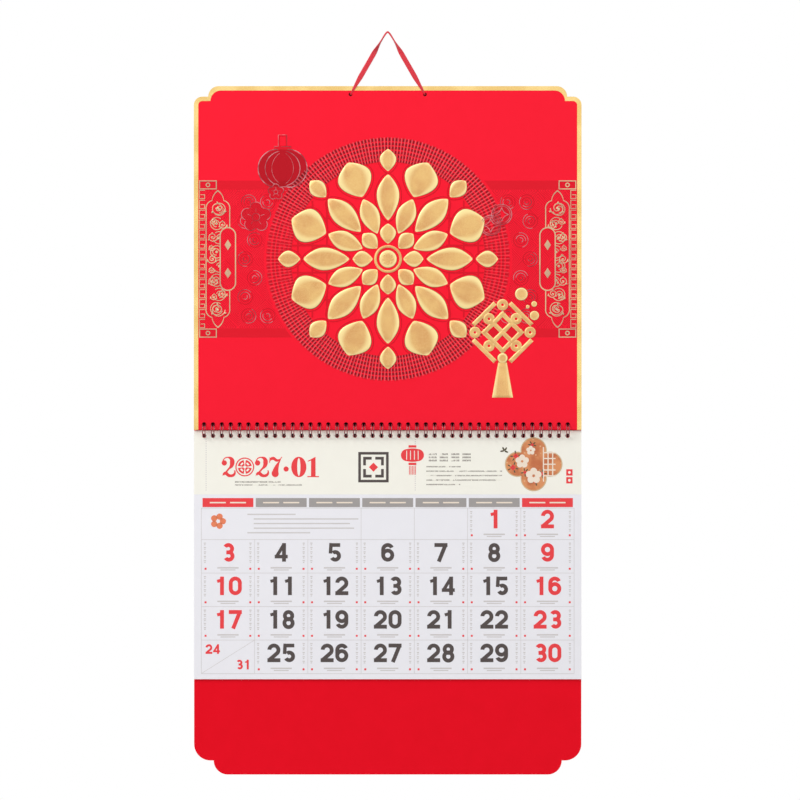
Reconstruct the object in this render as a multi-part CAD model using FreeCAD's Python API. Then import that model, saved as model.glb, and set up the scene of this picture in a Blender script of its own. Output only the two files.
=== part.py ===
import FreeCAD
import Part
import math
import os

from FreeCAD import Vector

# Wall calendar with a stiff header board, a pad of month sheets and a backing card, all three
# threaded on one row of twin wire loops. Millimetres. The front faces -Y, the wall is at +Y,
# X runs to the right and Z up. The origin is where the hanging loop bears on its hook.

# Header board
board_width = 370.0
header_height = 328.0
header_thickness = 2.0
border_width = 4.2
shoulder_radius = 10.0
shoulder_ledge = 5.6
foot_radius = 8.1
header_punch_margin = 5.1

# Month pad and backing card
sheet_count = 13
sheet_thickness = 0.12
pad_height = 237.5
card_height = 329.5
card_thickness = 0.5
card_shoulder_radius = 13.4
card_ledge = 3.0
card_foot_radius = 15.7
punch_margin = 5.0
leaf_clearance = 0.35

# Twin loop wire, three loops to the inch
loop_pitch = 25.4 / 3
binding_margin = 11.0
binding_shift = -1.7
ring_radius = 5.7
wire_diameter = 0.9
loop_gap = 2.3
base_bend_radius = 1.1
hole_clearance = 0.5
spine_angle = 160.0
tip_angle = 122.0

# Hanging cord
cord_rise = 50.5
cord_diameter = 2.0
cord_clearance = 0.3
hook_radius = 1.0
hole_bend_radius = 2.0
hang_hole_spacing = 71.0
hang_hole_drop = 7.9
hang_hole_diameter = 3.5
knot_diameter = 5.4
knot_length = 4.4

# Raised work on the header
foil_thickness = 0.1
emboss_height = 0.3
root_depth = 0.2
relief_height = 1.2
ring_centre_drop = 165.0
ring_outer_radius = 116.4
ring_inner_radius = 92.6
ring_shift = 0.3
ring_moat = 2.0
band_height = 150.0
band_strip = 8.6
band_step = 0.12
fret_units = 36
tooth_count = 96
hung_lantern_inset = 50.0
hung_lantern_rise = 86.4
hung_lantern_height = 35.0
hung_lantern_bows = (23.4, 16.6, 10.2, 4.4)
blossoms = ((24.6, 40.0, 15.0), (43.6, 64.0, 8.0))
pressed_coins = ((52.0, 32.0, 9.6), (41.5, 42.5, 9.6))
medallion_heart = 8.6
medallion_count = 8
petal_tiers = ((14.6, 33.8, 7.9, 0.0), (26.3, 61.6, 9.3, 0.5), (36.9, 80.8, 11.1, 0.0),
               (64.1, 99.5, 16.8, 0.5), (83.8, 105.0, 8.1, 0.0))
knot_below = 70.0
knot_gap = 3.3
knot_spread = 0.42
knot_loop_share = 0.26
relief_moat = 0.8
scroll_radius = 7.4
scroll_line = 0.8
scroll_gap = 0.6
loose_coins = ((0.31, 0.63, 0.107), (0.52, 0.466, 0.048), (0.524, 0.276, 0.079), (0.414, 0.422, 0.031))
ornament_height = 0.25
ornament_line = 0.95
ornament_inset = 0.8
ornament_gap = 0.6
fret_column_width = 5.6
cartouche_width = 23.5
capsule_width = 15.8
capsule_height = 61.0
capsule_shift = 9.5

# Print on the top sheet
print_thickness = 0.1
head_band_height = 61.0
grid_margin = 7.0
weekday_top = 64.5
weekday_height = 8.6
grid_top = 74.1
first_row_height = 30.0
row_height = 32.0
number_height = 17.7
number_width = 12.4
number_gap = 1.6
number_stroke = 3.7
number_drop = 3.4
small_number_share = 0.52
small_number_inset = 4.0
first_number_drop = 1.6
title_height = 19.4
title_figures = (("2", 0.0, 13.2), ("seal", 13.5, 18.0), ("2", 31.8, 13.2), ("7", 45.7, 12.6),
                 ("dot", 59.5, 4.9), ("0", 66.9, 14.4), ("1", 82.2, 11.2))
title_line = 1.1
title_inset = 26.0
title_top = 25.1
grid_line = 0.35
emblem_across = -13.6
emblem_down = 35.0
emblem_size = 29.0
lantern_across = 23.6
lantern_down = 23.5
lantern_width = 22.0
picture_inset = 45.6
picture_down = 32.2
picture_width = 55.0
picture_height = 51.5
seal_inset = 11.5
seal_down = 40.0
seal_width = 6.0
heading_left = 39.0
heading_down = 21.8
heading_pitch = 10.8
paragraph_down = 34.0
paragraph_pitch = 4.25
paragraph_start = 37.0
paragraph_gap = 2.4

# Places that follow from the sizes above
paragraph_end = board_width / 2 - picture_inset - picture_width / 2 - paragraph_gap
paragraph_width = paragraph_end - paragraph_start
header_front = cord_diameter / 2 + cord_clearance
header_back = header_front + header_thickness
axis_y = (header_front + header_back) / 2
header_top = -cord_rise
header_bottom = header_top - header_height
pad_front = header_back + leaf_clearance
pad_back = pad_front + sheet_count * sheet_thickness
card_front = pad_back + leaf_clearance
card_back = card_front + card_thickness
hole_radius = (loop_gap + wire_diameter) / 2 + hole_clearance
loop_count = int((board_width - 2 * binding_margin) / loop_pitch) + 1


def ring_reach(front, back):
    """How far above or below the axis the loops pass through a leaf between two depths."""
    near = math.sqrt(ring_radius ** 2 - (front - axis_y) ** 2)
    far = math.sqrt(ring_radius ** 2 - (back - axis_y) ** 2)
    return (near + far) / 2


header_hole_z = header_bottom + header_punch_margin
axis_z = header_hole_z - ring_reach(header_front, header_back)
pad_hole_z = axis_z - ring_reach(pad_front, pad_back)
card_hole_z = axis_z - ring_reach(card_front, card_back)
pad_top = pad_hole_z + punch_margin
card_top = card_hole_z + punch_margin
ring_centre = (ring_shift, header_top - ring_centre_drop)
ornament_edge = (board_width / 2 - border_width - ornament_inset - fret_column_width - ornament_gap
                 - cartouche_width)
capsule_edge = ornament_edge + cartouche_width / 2 - capsule_shift - capsule_width / 2
print_front = pad_front - print_thickness
knot_left = ring_shift + petal_tiers[-1][1] * math.sqrt(0.5) + knot_gap
knot_reach = (capsule_edge - knot_gap - knot_left) / 2
knot_centre = (knot_left + knot_reach, ring_centre[1] - knot_below)
knot_half = knot_reach / (1 + 2 * knot_loop_share)
knot_loop = knot_half * knot_loop_share
knot_band = knot_half * 0.2
knot_width = knot_half / 0.36


def loop_places():
    """X of the middle of each twin loop, from left to right."""
    first = binding_shift - loop_pitch * (loop_count - 1) / 2
    return [first + loop_pitch * i for i in range(loop_count)]


def at(x, z):
    return Vector(x, 0, z)


def path_edges(points):
    """Edges along an open path in the XZ plane. A step is an end point, or a middle and an end point."""
    edges = []
    here = points[0]
    for step in points[1:]:
        if isinstance(step[0], tuple):
            middle, end = step
            edges.append(Part.Arc(at(*here), at(*middle), at(*end)).toShape())
        else:
            end = step
            if at(*here).distanceToPoint(at(*end)) > 1e-6:
                edges.append(Part.LineSegment(at(*here), at(*end)).toShape())
        here = end
    return edges


def outline(*points):
    """Closed wire through points and arcs, back to the first point."""
    return Part.Wire(path_edges(points + (points[0],)))


def symmetric_outline(*points):
    """Closed wire from its left half, which starts at one end edge and stops at the other."""
    left = path_edges(points)
    right = [edge.mirror(Vector(0, 0, 0), Vector(1, 0, 0)) for edge in left]
    first = points[0]
    last = points[-1][1] if isinstance(points[-1][0], tuple) else points[-1]
    ends = [Part.LineSegment(at(x, z), at(-x, z)).toShape() for x, z in (first, last)]
    return Part.Wire(Part.__sortEdges__(left + right + ends))


def circle(x, z, radius):
    return Part.Wire(Part.makeCircle(radius, at(x, z), Vector(0, 1, 0)))


def rectangle(x, z, width, height):
    """Rectangle with its upper left corner at x, z."""
    return outline((x, z), (x + width, z), (x + width, z - height), (x, z - height))


def capsule(x, z, width, height):
    """Upright slot shape centred on x, z."""
    r = width / 2
    top = z + height / 2 - r
    low = z - height / 2 + r
    return outline((x - r, low), (x - r, top), ((x, top + r), (x + r, top)), (x + r, low),
                   ((x, low - r), (x - r, low)))


def polar_outline(x, z, *corners):
    """Closed wire through (radius, degrees) corners; neighbours of equal radius are joined by an arc."""
    def spot(radius, degrees):
        a = math.radians(degrees)
        return (x + radius * math.cos(a), z + radius * math.sin(a))
    points = [spot(*corners[0])]
    for near, far in zip(corners, corners[1:] + corners[:1]):
        if abs(near[0] - far[0]) < 1e-9:
            points.append((spot(near[0], (near[1] + far[1]) / 2), spot(*far)))
        else:
            points.append(spot(*far))
    return Part.Wire(path_edges(points))


def annular_sector(x, z, inner, outer, start, end):
    """Band of a ring between two angles in degrees, measured from +X towards +Z."""
    return polar_outline(x, z, (inner, start), (outer, start), (outer, end), (inner, end))


def petal(x, z, inner, outer, half_width, degrees, fullness=0.55):
    """Pointed petal with its root and tip on a ray from x, z."""
    a = math.radians(degrees)
    along = (math.cos(a), math.sin(a))
    across = (-math.sin(a), math.cos(a))
    length = outer - inner

    def spot(share, side):
        reach = inner + share * length
        return at(x + reach * along[0] + side * half_width * across[0],
                  z + reach * along[1] + side * half_width * across[1])

    edges = []
    for sign in (1, -1):
        points = [spot(0, 0), spot(fullness * 0.4, 0.7 * sign), spot(fullness, sign),
                  spot(0.85, 0.5 * sign), spot(1, 0)]
        curve = Part.BSplineCurve()
        curve.interpolate(points if sign == 1 else points[::-1])
        edges.append(curve.toShape())
    return Part.Wire(edges)


def raise_from(wires, back, height):
    """Solid of one or more nested outlines, from the depth back towards the viewer."""
    face = Part.makeFace(wires, "Part::FaceMakerBullseye")
    face.translate(Vector(0, back, 0))
    return face.extrude(Vector(0, -height, 0))


def stroke_bar(p, q, width):
    """Straight pen stroke of a number, with square ends."""
    dx = q[0] - p[0]
    dz = q[1] - p[1]
    length = math.hypot(dx, dz)
    nx = -dz / length * width / 2
    nz = dx / length * width / 2
    return outline((p[0] + nx, p[1] + nz), (q[0] + nx, q[1] + nz),
                   (q[0] - nx, q[1] - nz), (p[0] - nx, p[1] - nz))


def figure_strokes(figure, width, height, stroke):
    """Outlines of the strokes of one figure, with its lower left corner at 0, 0."""
    s = stroke / 2
    r = width / 2 - s
    middle = width / 2
    low = r + s
    high = height - r - s
    right = width - s
    small = (height - 3 * stroke) / 4 + s
    upper = height - s - small
    lower = s + small

    def bow(z, radius, start, end, x=middle):
        return annular_sector(x, z, radius - s, radius + s, start, end)

    if figure == "0":
        return [bow(high, r, 0, 180), bow(low, r, 180, 360),
                stroke_bar((s, low), (s, high), stroke), stroke_bar((right, low), (right, high), stroke)]
    if figure == "1":
        stem = middle + stroke * 0.35
        return [stroke_bar((stem, 0), (stem, height), stroke),
                stroke_bar((stem, height - stroke * 0.9), (stem - stroke * 1.25, height - stroke * 1.25),
                           stroke * 0.8)]
    if figure == "2":
        turn = math.radians(-38)
        knee = (middle + r * math.cos(turn), high + r * math.sin(turn))
        return [bow(high, r, -40, 175), stroke_bar(knee, (s * 1.1, stroke * 0.6), stroke),
                stroke_bar((0, s), (width, s), stroke)]
    if figure == "3":
        inset = right - small
        return [bow(upper, small, -90, 150, inset - 0.4), bow(lower, small, -150, 90, inset),
                stroke_bar((inset - small * 0.7, height / 2), (inset, height / 2), stroke)]
    if figure == "4":
        stem = width - stroke * 0.95
        return [stroke_bar((stem, 0), (stem, height), stroke),
                stroke_bar((0, height * 0.27), (width, height * 0.27), stroke * 0.9),
                stroke_bar((stem - s * 0.2, height - s * 0.9), (s * 0.9, height * 0.27), stroke * 0.85)]
    if figure == "5":
        bowl = (height * 0.62 - stroke) / 2
        side = right - bowl
        return [stroke_bar((s * 1.4, height - s), (width * 0.94, height - s), stroke * 0.95),
                stroke_bar((s * 1.3, height * 0.44), (s * 1.6, height), stroke * 0.9),
                bow(bowl + s, bowl, -150, 128, side)]
    if figure in ("6", "9"):
        bowl = r
        strokes = [annular_sector(middle, low, bowl - s, bowl + s, -90, 90),
                   annular_sector(middle, low, bowl - s, bowl + s, 90, 270),
                   stroke_bar((s, low), (s, high), stroke), bow(high, r, 25, 180)]
        if figure == "6":
            return strokes
        for wire in strokes:
            wire.rotate(at(middle, height / 2), Vector(0, 1, 0), 180)
        return strokes
    if figure == "7":
        return [stroke_bar((0, height - s), (width, height - s), stroke),
                stroke_bar((right, height - s * 0.9), (width * 0.33, 0), stroke)]
    wide = small + (width / 2 - s - small) * 0.5
    return [annular_sector(middle, upper, small - s, small + s, -90, 90),
            annular_sector(middle, upper, small - s, small + s, 90, 270),
            annular_sector(middle, lower, wide - s, wide + s, -90, 90),
            annular_sector(middle, lower, wide - s, wide + s, 90, 270)]


def figure_solid(figure, width, height, stroke):
    """One figure as a thin field of ink on the top sheet, lower left corner at x 0, z 0."""
    strokes = [raise_from([wire], pad_front, print_thickness)
               for wire in figure_strokes(figure, width, height, stroke)]
    solid = strokes[0].fuse(strokes[1:]) if len(strokes) > 1 else strokes[0]
    return solid.removeSplitter()


def write(shape, node):
    shape.exportStep(os.path.join("parts", node + ".step"))
    print(node, len(shape.Solids), "solids", round(shape.Volume, 2), "mm3", shape.isValid())


def stepped_corner(left, edge, down, shoulder, ledge, foot):
    """Left side, rounded foot, ledge and rounded shoulder of a corner that meets the level edge.

    down is 1 for an upper corner, whose side runs down from it, and -1 for a lower one."""
    slant = 1 - math.sqrt(0.5)
    ledge_z = edge - down * shoulder
    centre = left + foot + ledge + shoulder
    return [
        (left, ledge_z - down * foot),
        ((left + foot * slant, ledge_z - down * foot * slant), (left + foot, ledge_z)),
        (left + foot + ledge, ledge_z),
        ((centre - shoulder * (1 - slant), ledge_z + down * shoulder * (1 - slant)), (centre, edge)),
    ]


def header_outline():
    left = -board_width / 2
    corner = stepped_corner(left, header_top, 1, shoulder_radius, shoulder_ledge, foot_radius)
    return symmetric_outline((left, header_bottom), *corner)


def red_field_outline():
    """Inner edge of the border, open at the header's lower edge."""
    left = -board_width / 2 + border_width
    foot = max(foot_radius - border_width, 0.5)
    corner = stepped_corner(left, header_top - border_width, 1, shoulder_radius,
                            shoulder_ledge + border_width * 0.5, foot)
    return symmetric_outline((left, header_bottom), *corner)


def wire_holes(hole_z):
    return [circle(x, hole_z, hole_radius) for x in loop_places()]


def hang_holes():
    z = header_top - hang_hole_drop
    return [circle(side * hang_hole_spacing / 2, z, hang_hole_diameter / 2) for side in (-1, 1)]


def embossed(wires, height=emboss_height):
    """Raised paper on the header, rooted a little way into the board."""
    return raise_from(wires, header_front + root_depth, height + root_depth)


def fret_ring():
    """Round border of teeth, key blocks and rims about the medallion."""
    x, z = ring_centre
    width = ring_outer_radius - ring_inner_radius
    tooth = width * 0.16
    rim = width * 0.07
    high_rim = ring_outer_radius - tooth * 1.5
    pieces = [embossed([circle(x, z, ring_inner_radius + rim), circle(x, z, ring_inner_radius)]),
              embossed([circle(x, z, high_rim), circle(x, z, high_rim - rim)])]
    pitch = 360.0 / tooth_count
    for i in range(tooth_count):
        pieces.append(embossed([annular_sector(x, z, ring_outer_radius - tooth, ring_outer_radius,
                                               pitch * (i - 0.28), pitch * (i + 0.28))]))
    low = ring_inner_radius + rim * 2
    high = high_rim - rim * 2
    line = (high - low) * 0.16
    middle = (low + high) / 2
    turn = math.degrees(line / middle)
    pitch = 360.0 / fret_units
    for i in range(fret_units):
        start = pitch * (i + 0.08)
        end = pitch * (i + 0.92)
        key = polar_outline(x, z, (high, start), (high, end), (high - line, end),
                            (high - line, start + turn), (low + line, start + turn),
                            (low + line, end - turn), (middle - line / 2, end - turn),
                            (middle - line / 2, start + turn * 2.4),
                            (middle + line / 2, start + turn * 2.4), (middle + line / 2, end),
                            (low, end), (low, start))
        pieces.append(embossed([key]))
    return pieces


def lattice():
    """Window lattice inside the ring, on both sides of the medallion."""
    x, z = ring_centre
    bar = 1.6
    pieces = []
    for side in (-1, 1):
        for reach in (0.93, 0.78, 0.63):
            across = ring_inner_radius * reach
            half = math.sqrt(ring_inner_radius ** 2 - across ** 2) * 0.96
            pieces.append(embossed([rectangle(x + side * across - bar / 2, z + half, bar, 2 * half)]))
        for level in (-0.42, -0.28, -0.14, 0, 0.14, 0.28, 0.42):
            up = ring_inner_radius * level
            inner = ring_inner_radius * 0.6
            outer = math.sqrt(ring_inner_radius ** 2 - up ** 2) * 0.995
            left = x + inner if side > 0 else x - outer
            pieces.append(embossed([rectangle(left, z + up + bar / 2, outer - inner, bar)]))
    return pieces


def side_bands():
    """Level brocade bands between the ring and the gold ornament, each with a plain strip above and below."""
    x, z = ring_centre
    bulge = ring_outer_radius + ring_moat
    pieces = []
    for side in (-1, 1):
        slot = capsule(side * (capsule_edge + capsule_width / 2), z, capsule_width + 2 * ornament_gap,
                       capsule_height + 2 * ornament_gap)
        room = raise_from([slot], header_back, header_thickness * 2)
        for top, step in ((band_height / 2, band_step / 2), (band_height / 2 - band_strip, band_step)):
            inner = x + side * math.sqrt(bulge ** 2 - top ** 2)
            outer = side * (ornament_edge - ornament_gap)
            band = outline((inner, z + top), (outer, z + top), (outer, z - top), (inner, z - top),
                           ((x + side * bulge, z), (inner, z + top)))
            pieces.append(embossed([band], step).cut(room))
    return pieces


def cloud_scrolls():
    """Ring-shaped cloud curls on the brocade bands, clear of the ring and of the gold ornament."""
    x, z = ring_centre
    pitch = 2 * scroll_radius + 3.3
    pieces = []
    for row in range(-3, 4):
        up = row * pitch
        beside_capsule = abs(up) < capsule_height / 2 + scroll_radius + scroll_gap
        limit = (capsule_edge if beside_capsule else ornament_edge) - scroll_radius - 2 * scroll_gap
        for column in range(4):
            across = limit - pitch * (column + 0.5 * (row % 2))
            if math.hypot(across, up) < ring_outer_radius + ring_moat + scroll_radius + scroll_gap:
                continue
            for side in (-1, 1):
                for share in (1.0, 0.65, 0.3):
                    radius = scroll_radius * share
                    pieces.append(embossed([circle(side * across, z + up, radius),
                                            circle(side * across, z + up, radius - scroll_line)],
                                           band_step + emboss_height / 3))
    return pieces


def embossed_lantern():
    """Ribbed lantern above the left band."""
    x = hung_lantern_inset - ornament_edge
    z = ring_centre[1] + hung_lantern_rise
    tall = hung_lantern_height
    pieces = []
    for i, bow in enumerate(hung_lantern_bows):
        tip = tall / 2 - 0.8 * i
        pieces.append(embossed([outline((x, z - tip), ((x - bow, z), (x, z + tip)),
                                        ((x + bow, z), (x, z - tip)))],
                               emboss_height * (1.8 - bow / 26)))
    for up in (tall / 2, -tall / 2 - 3.4):
        pieces.append(embossed([rectangle(x - 8, z + up + 3.4, 16, 3.4)]))
    pieces.append(embossed([rectangle(x - 4, z + tall / 2 + 14.5, 8, 11.1),
                            rectangle(x - 2.8, z + tall / 2 + 13.3, 5.6, 9.0)]))
    for i in range(7):
        pieces.append(embossed([rectangle(x - 6.4 + i * 2, z - tall / 2 - 3.4, 0.9, 11)]))
    return pieces


def embossed_blossom(inset, up, size):
    """Five round petals and a centre, in from the left ornament."""
    x = inset - ornament_edge
    z = ring_centre[1] + up
    pieces = []
    for i in range(5):
        a = math.radians(90 + 72 * i)
        pieces.append(embossed([circle(x + size * 0.58 * math.cos(a), z + size * 0.58 * math.sin(a),
                                       size * 0.4)], emboss_height * 1.3))
    pieces.append(embossed([circle(x, z, size * 0.26)], emboss_height * 2))
    return pieces


def embossed_coin(inset, up, radius):
    """Old coin with a square hole, in from the right ornament."""
    x = ornament_edge - inset
    z = ring_centre[1] + up
    half = radius * 0.42
    hollow = outline((x - half, z), (x, z + half), (x + half, z), (x, z - half))
    return [embossed([circle(x, z, radius), hollow], emboss_height * 1.3)]


def gold_footprints():
    """Room that the raised gold work takes up on the board, with its moat."""
    x, z = ring_centre
    turn = 360.0 / medallion_count
    wires = []
    for inner, outer, half_width, offset in petal_tiers:
        for i in range(medallion_count):
            wires.append(petal(x, z, inner - relief_moat, outer + relief_moat, half_width + relief_moat,
                               90 + turn * (i + offset)))
    knot_x, knot_z = knot_centre
    reach = knot_reach + relief_moat
    corner = 4 * knot_half * knot_spread + (knot_band / 2 + relief_moat) * math.sqrt(2) - reach
    wires.append(outline((knot_x - corner, knot_z + reach), (knot_x + corner, knot_z + reach),
                         (knot_x + reach, knot_z + corner), (knot_x + reach, knot_z - corner),
                         (knot_x + corner, knot_z - reach), (knot_x - corner, knot_z - reach),
                         (knot_x - reach, knot_z - corner), (knot_x - reach, knot_z + corner)))
    for across, up, radius in loose_coins:
        wires.append(circle(knot_x + across * knot_width, knot_z + up * knot_width,
                            radius * knot_width + relief_moat))
    return [raise_from([wire], header_back, header_thickness * 2) for wire in wires]


def clear_of(pieces, rooms):
    """The pieces without what lies in the rooms."""
    cleared = []
    for piece in pieces:
        near = [room for room in rooms if room.BoundBox.intersect(piece.BoundBox)]
        rest = piece.cut(near) if near else piece
        cleared += rest.Solids
    return cleared


def header_board():
    board = raise_from([header_outline()] + wire_holes(header_hole_z) + hang_holes(),
                       header_back, header_thickness)
    pieces = fret_ring() + lattice() + side_bands() + cloud_scrolls() + embossed_lantern()
    for place in blossoms:
        pieces += embossed_blossom(*place)
    for place in pressed_coins:
        pieces += embossed_coin(*place)
    return board.fuse(clear_of(pieces, gold_footprints())).removeSplitter()


def header_border():
    """Gold foil between the header's edge and its red field."""
    foil = raise_from([header_outline()], header_front, foil_thickness)
    inside = raise_from([red_field_outline()], header_front + 1, foil_thickness + 2)
    return foil.cut(inside)


def gold(wires, height=relief_height):
    """Raised gold work, seated on the red paper."""
    return raise_from(wires, header_front, height)


def medallion():
    """Gold flower of pointed petals in five tiers about a round heart."""
    x, z = ring_centre
    heart = medallion_heart
    solids = [gold([circle(x, z, heart)]),
              gold([circle(x, z, heart * 1.55), circle(x, z, heart * 1.25)])]
    turn = 360.0 / medallion_count
    for inner, outer, half_width, offset in petal_tiers:
        for i in range(medallion_count):
            wire = petal(x, z, inner, outer, half_width, 90 + turn * (i + offset))
            solids.append(gold([wire]))
    return Part.makeCompound(solids)


def knot_and_coins():
    """Endless knot with two side loops and a tassel, and a few plain gold discs beside it."""
    x, z = knot_centre
    half = knot_half
    band = knot_band
    bars = []
    for i in range(-2, 3):
        shift = i * half * knot_spread
        bars.append(stroke_bar((x - half / 2 + shift, z - half / 2 - shift),
                               (x + half / 2 + shift, z + half / 2 - shift), band))
        bars.append(stroke_bar((x - half / 2 + shift, z + half / 2 + shift),
                               (x + half / 2 + shift, z - half / 2 + shift), band))
    loop = knot_loop
    rings = [(x, z + half + loop), (x - half - loop, z), (x + half + loop, z),
             (x - half * 0.62, z + half * 0.62), (x + half * 0.62, z + half * 0.62),
             (x - half * 0.62, z - half * 0.62), (x + half * 0.62, z - half * 0.62)]
    solids = [gold([wire]) for wire in bars]
    for cx, cz in rings:
        solids.append(gold([circle(cx, cz, loop), circle(cx, cz, loop - band)]))
    cap = z - half * 0.98
    solids.append(gold([rectangle(x - band * 1.1, cap, band * 2.2, band * 2.2)]))
    solids.append(gold([outline((x - band, cap - band * 2), (x + band, cap - band * 2),
                                (x + band * 2.4, cap - knot_width * 0.72),
                                (x - band * 2.4, cap - knot_width * 0.72))]))
    knot = solids[0].fuse(solids[1:]).removeSplitter()
    discs = [gold([circle(x + across * knot_width, z + up * knot_width, radius * knot_width)],
                  relief_height * 0.8) for across, up, radius in loose_coins]
    return Part.makeCompound([knot] + discs)


def key_block(x, z, width, height, line):
    """One square key of a fret column, with its upper left corner at x, z."""
    return outline((x, z), (x + width, z), (x + width, z - line), (x + line, z - line),
                   (x + line, z - height + line), (x + width - line, z - height + line),
                   (x + width - line, z - height * 0.58), (x + 2.2 * line, z - height * 0.58),
                   (x + 2.2 * line, z - height * 0.58 + line), (x + width, z - height * 0.58 + line),
                   (x + width, z - height), (x, z - height))


def cartouche(x, z, width, height):
    """Upright panel outline with pointed ogee ends, centred on x, z."""
    half = width / 2
    top = height / 2
    neck = width * 0.25
    left = [(x, z - top), ((x - neck * 0.75, z - top + width * 0.21), (x - neck, z - top + width * 0.42)),
            ((x - half * 0.9, z - top + width * 0.56), (x - half, z - top + width * 0.8)),
            (x - half, z + top - width * 0.8),
            ((x - half * 0.9, z + top - width * 0.56), (x - neck, z + top - width * 0.42)),
            ((x - neck * 0.75, z + top - width * 0.21), (x, z + top))]
    right = [((x + neck * 0.75, z + top - width * 0.21), (x + neck, z + top - width * 0.42)),
             ((x + half * 0.9, z + top - width * 0.56), (x + half, z + top - width * 0.8)),
             (x + half, z - top + width * 0.8),
             ((x + half * 0.9, z - top + width * 0.56), (x + neck, z - top + width * 0.42)),
             ((x + neck * 0.75, z - top + width * 0.21), (x, z - top))]
    return Part.Wire(path_edges(left + right))


def line_work(wires):
    """Thin gold line ornament."""
    return raise_from(wires, header_front, ornament_height)


def vine_scroll(x, z, size, side):
    """Curled vine: two arcs that wind in, and a bud."""
    line = ornament_line * 0.8
    start = 200 if side > 0 else -20
    wires = [annular_sector(x, z, size - line, size, start, start + side * 290),
             annular_sector(x + side * size * 0.1, z, size * 0.55 - line, size * 0.55, start + side * 60,
                            start + side * 330),
             circle(x, z, size * 0.2)]
    return [line_work([wire]) for wire in wires]


def side_ornament(side):
    """Gold ornament of one side: fret column, scrolled cartouche, corner blocks and a plain capsule."""
    z = ring_centre[1]
    field = board_width / 2 - border_width - ornament_inset
    line = ornament_line
    outer = side * field
    solids = []
    count = 14
    column = fret_column_width
    tall = (band_height - 2 * band_strip) / count
    left = outer - column if side > 0 else outer
    for i in range(count):
        top = z + band_height / 2 - band_strip - tall * (i + 0.05)
        solids.append(line_work([key_block(left, top, column, tall * 0.9, line * 0.7)]))
    block = cartouche_width * 0.72
    for top in (z + band_height / 2, z - band_height / 2 + band_strip):
        corner = outer - block if side > 0 else outer
        frame = rectangle(corner, top, block, band_strip)
        hollow = rectangle(corner + line, top - line, block - 2 * line, band_strip - 2 * line)
        solids.append(line_work([frame, hollow]))
        solids.append(line_work([circle(corner + block / 2, top - band_strip / 2, band_strip * 0.26),
                                 circle(corner + block / 2, top - band_strip / 2, band_strip * 0.14)]))
    x = side * (ornament_edge + cartouche_width / 2)
    tall = band_height - 2 * band_strip - 1.0
    panel = [line_work([cartouche(x, z, cartouche_width, tall),
                        cartouche(x, z, cartouche_width - 2 * line, tall - 3 * line)])]
    turns = 8
    pitch = (tall - cartouche_width) / turns
    for i in range(turns):
        up = z + (i - (turns - 1) / 2) * pitch
        panel += vine_scroll(x + (1.2 if i % 2 else -1.2), up, pitch * 0.46, 1 if i % 2 else -1)
    slot_x = x - side * capsule_shift
    panel = panel[0].fuse(panel[1:])
    panel = panel.cut(line_work([capsule(slot_x, z, capsule_width, capsule_height)]))
    rim = line_work([capsule(slot_x, z, capsule_width, capsule_height),
                     capsule(slot_x, z, capsule_width - 2.4 * line, capsule_height - 2.4 * line)])
    mark = capsule_width * 0.2
    for up in (-capsule_height * 0.22, capsule_height * 0.22):
        solids.append(line_work([outline((slot_x - mark, z + up), (slot_x, z + up + mark * 1.6),
                                         (slot_x + mark, z + up), (slot_x, z + up - mark * 1.6))]))
    solids.append(panel.fuse([rim]).removeSplitter())
    return Part.makeCompound(solids)


def tube(points_and_arcs, radius):
    """Round wire or cord along a path of edges."""
    path = Part.Wire(points_and_arcs)
    first = path.Edges[0]
    start = first.valueAt(first.FirstParameter)
    heading = first.tangentAt(first.FirstParameter)
    profile = Part.Wire(Part.makeCircle(radius, start, heading))
    return path.makePipeShell([profile], True, False)


def spot_on_ring(x, degrees):
    """Point of the wire's centre line, measured from below the axis towards the wall."""
    a = math.radians(degrees)
    return Vector(x, axis_y + ring_radius * math.sin(a), axis_z - ring_radius * math.cos(a))


def heading_on_ring(degrees):
    a = math.radians(degrees)
    return Vector(0, math.cos(a), math.sin(a))


def quarter_turn(start, heading, aside, radius):
    """Arc from start that leaves along heading and arrives along aside."""
    slant = math.sqrt(0.5)
    middle = start + heading * (radius * slant) + aside * (radius * (1 - slant))
    end = start + heading * radius + aside * radius
    return Part.Arc(start, middle, end).toShape(), end


def binding_wire():
    """One wire bent into all the twin loops, from its first cut end to its last."""
    low = spine_angle
    high = 360.0 + tip_angle
    half = loop_gap / 2
    sideways = Vector(1, 0, 0)
    edges = []
    for x in loop_places():
        if edges:
            run_end = spot_on_ring(x - half, low) - heading_on_ring(low) * base_bend_radius
            run_end.x = x - half - base_bend_radius
            edges.append(Part.LineSegment(here, run_end).toShape())
            turn, here = quarter_turn(run_end, sideways, heading_on_ring(low), base_bend_radius)
            edges.append(turn)
        middle = (low + high) / 2
        edges.append(Part.Arc(spot_on_ring(x - half, low), spot_on_ring(x - half, middle),
                              spot_on_ring(x - half, high)).toShape())
        tip = spot_on_ring(x, high) + heading_on_ring(high) * half
        edges.append(Part.Arc(spot_on_ring(x - half, high), tip, spot_on_ring(x + half, high)).toShape())
        edges.append(Part.Arc(spot_on_ring(x + half, high), spot_on_ring(x + half, middle),
                              spot_on_ring(x + half, low)).toShape())
        if x < loop_places()[-1]:
            turn, here = quarter_turn(spot_on_ring(x + half, low), heading_on_ring(low) * -1, sideways,
                                      base_bend_radius)
            edges.append(turn)
    wire = tube(edges, wire_diameter / 2)
    length = sum(edge.Length for edge in edges)
    print("binding wire", round(length), "mm, section times length",
          round(length * math.pi * wire_diameter ** 2 / 4, 1), "mm3")
    return wire


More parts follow.
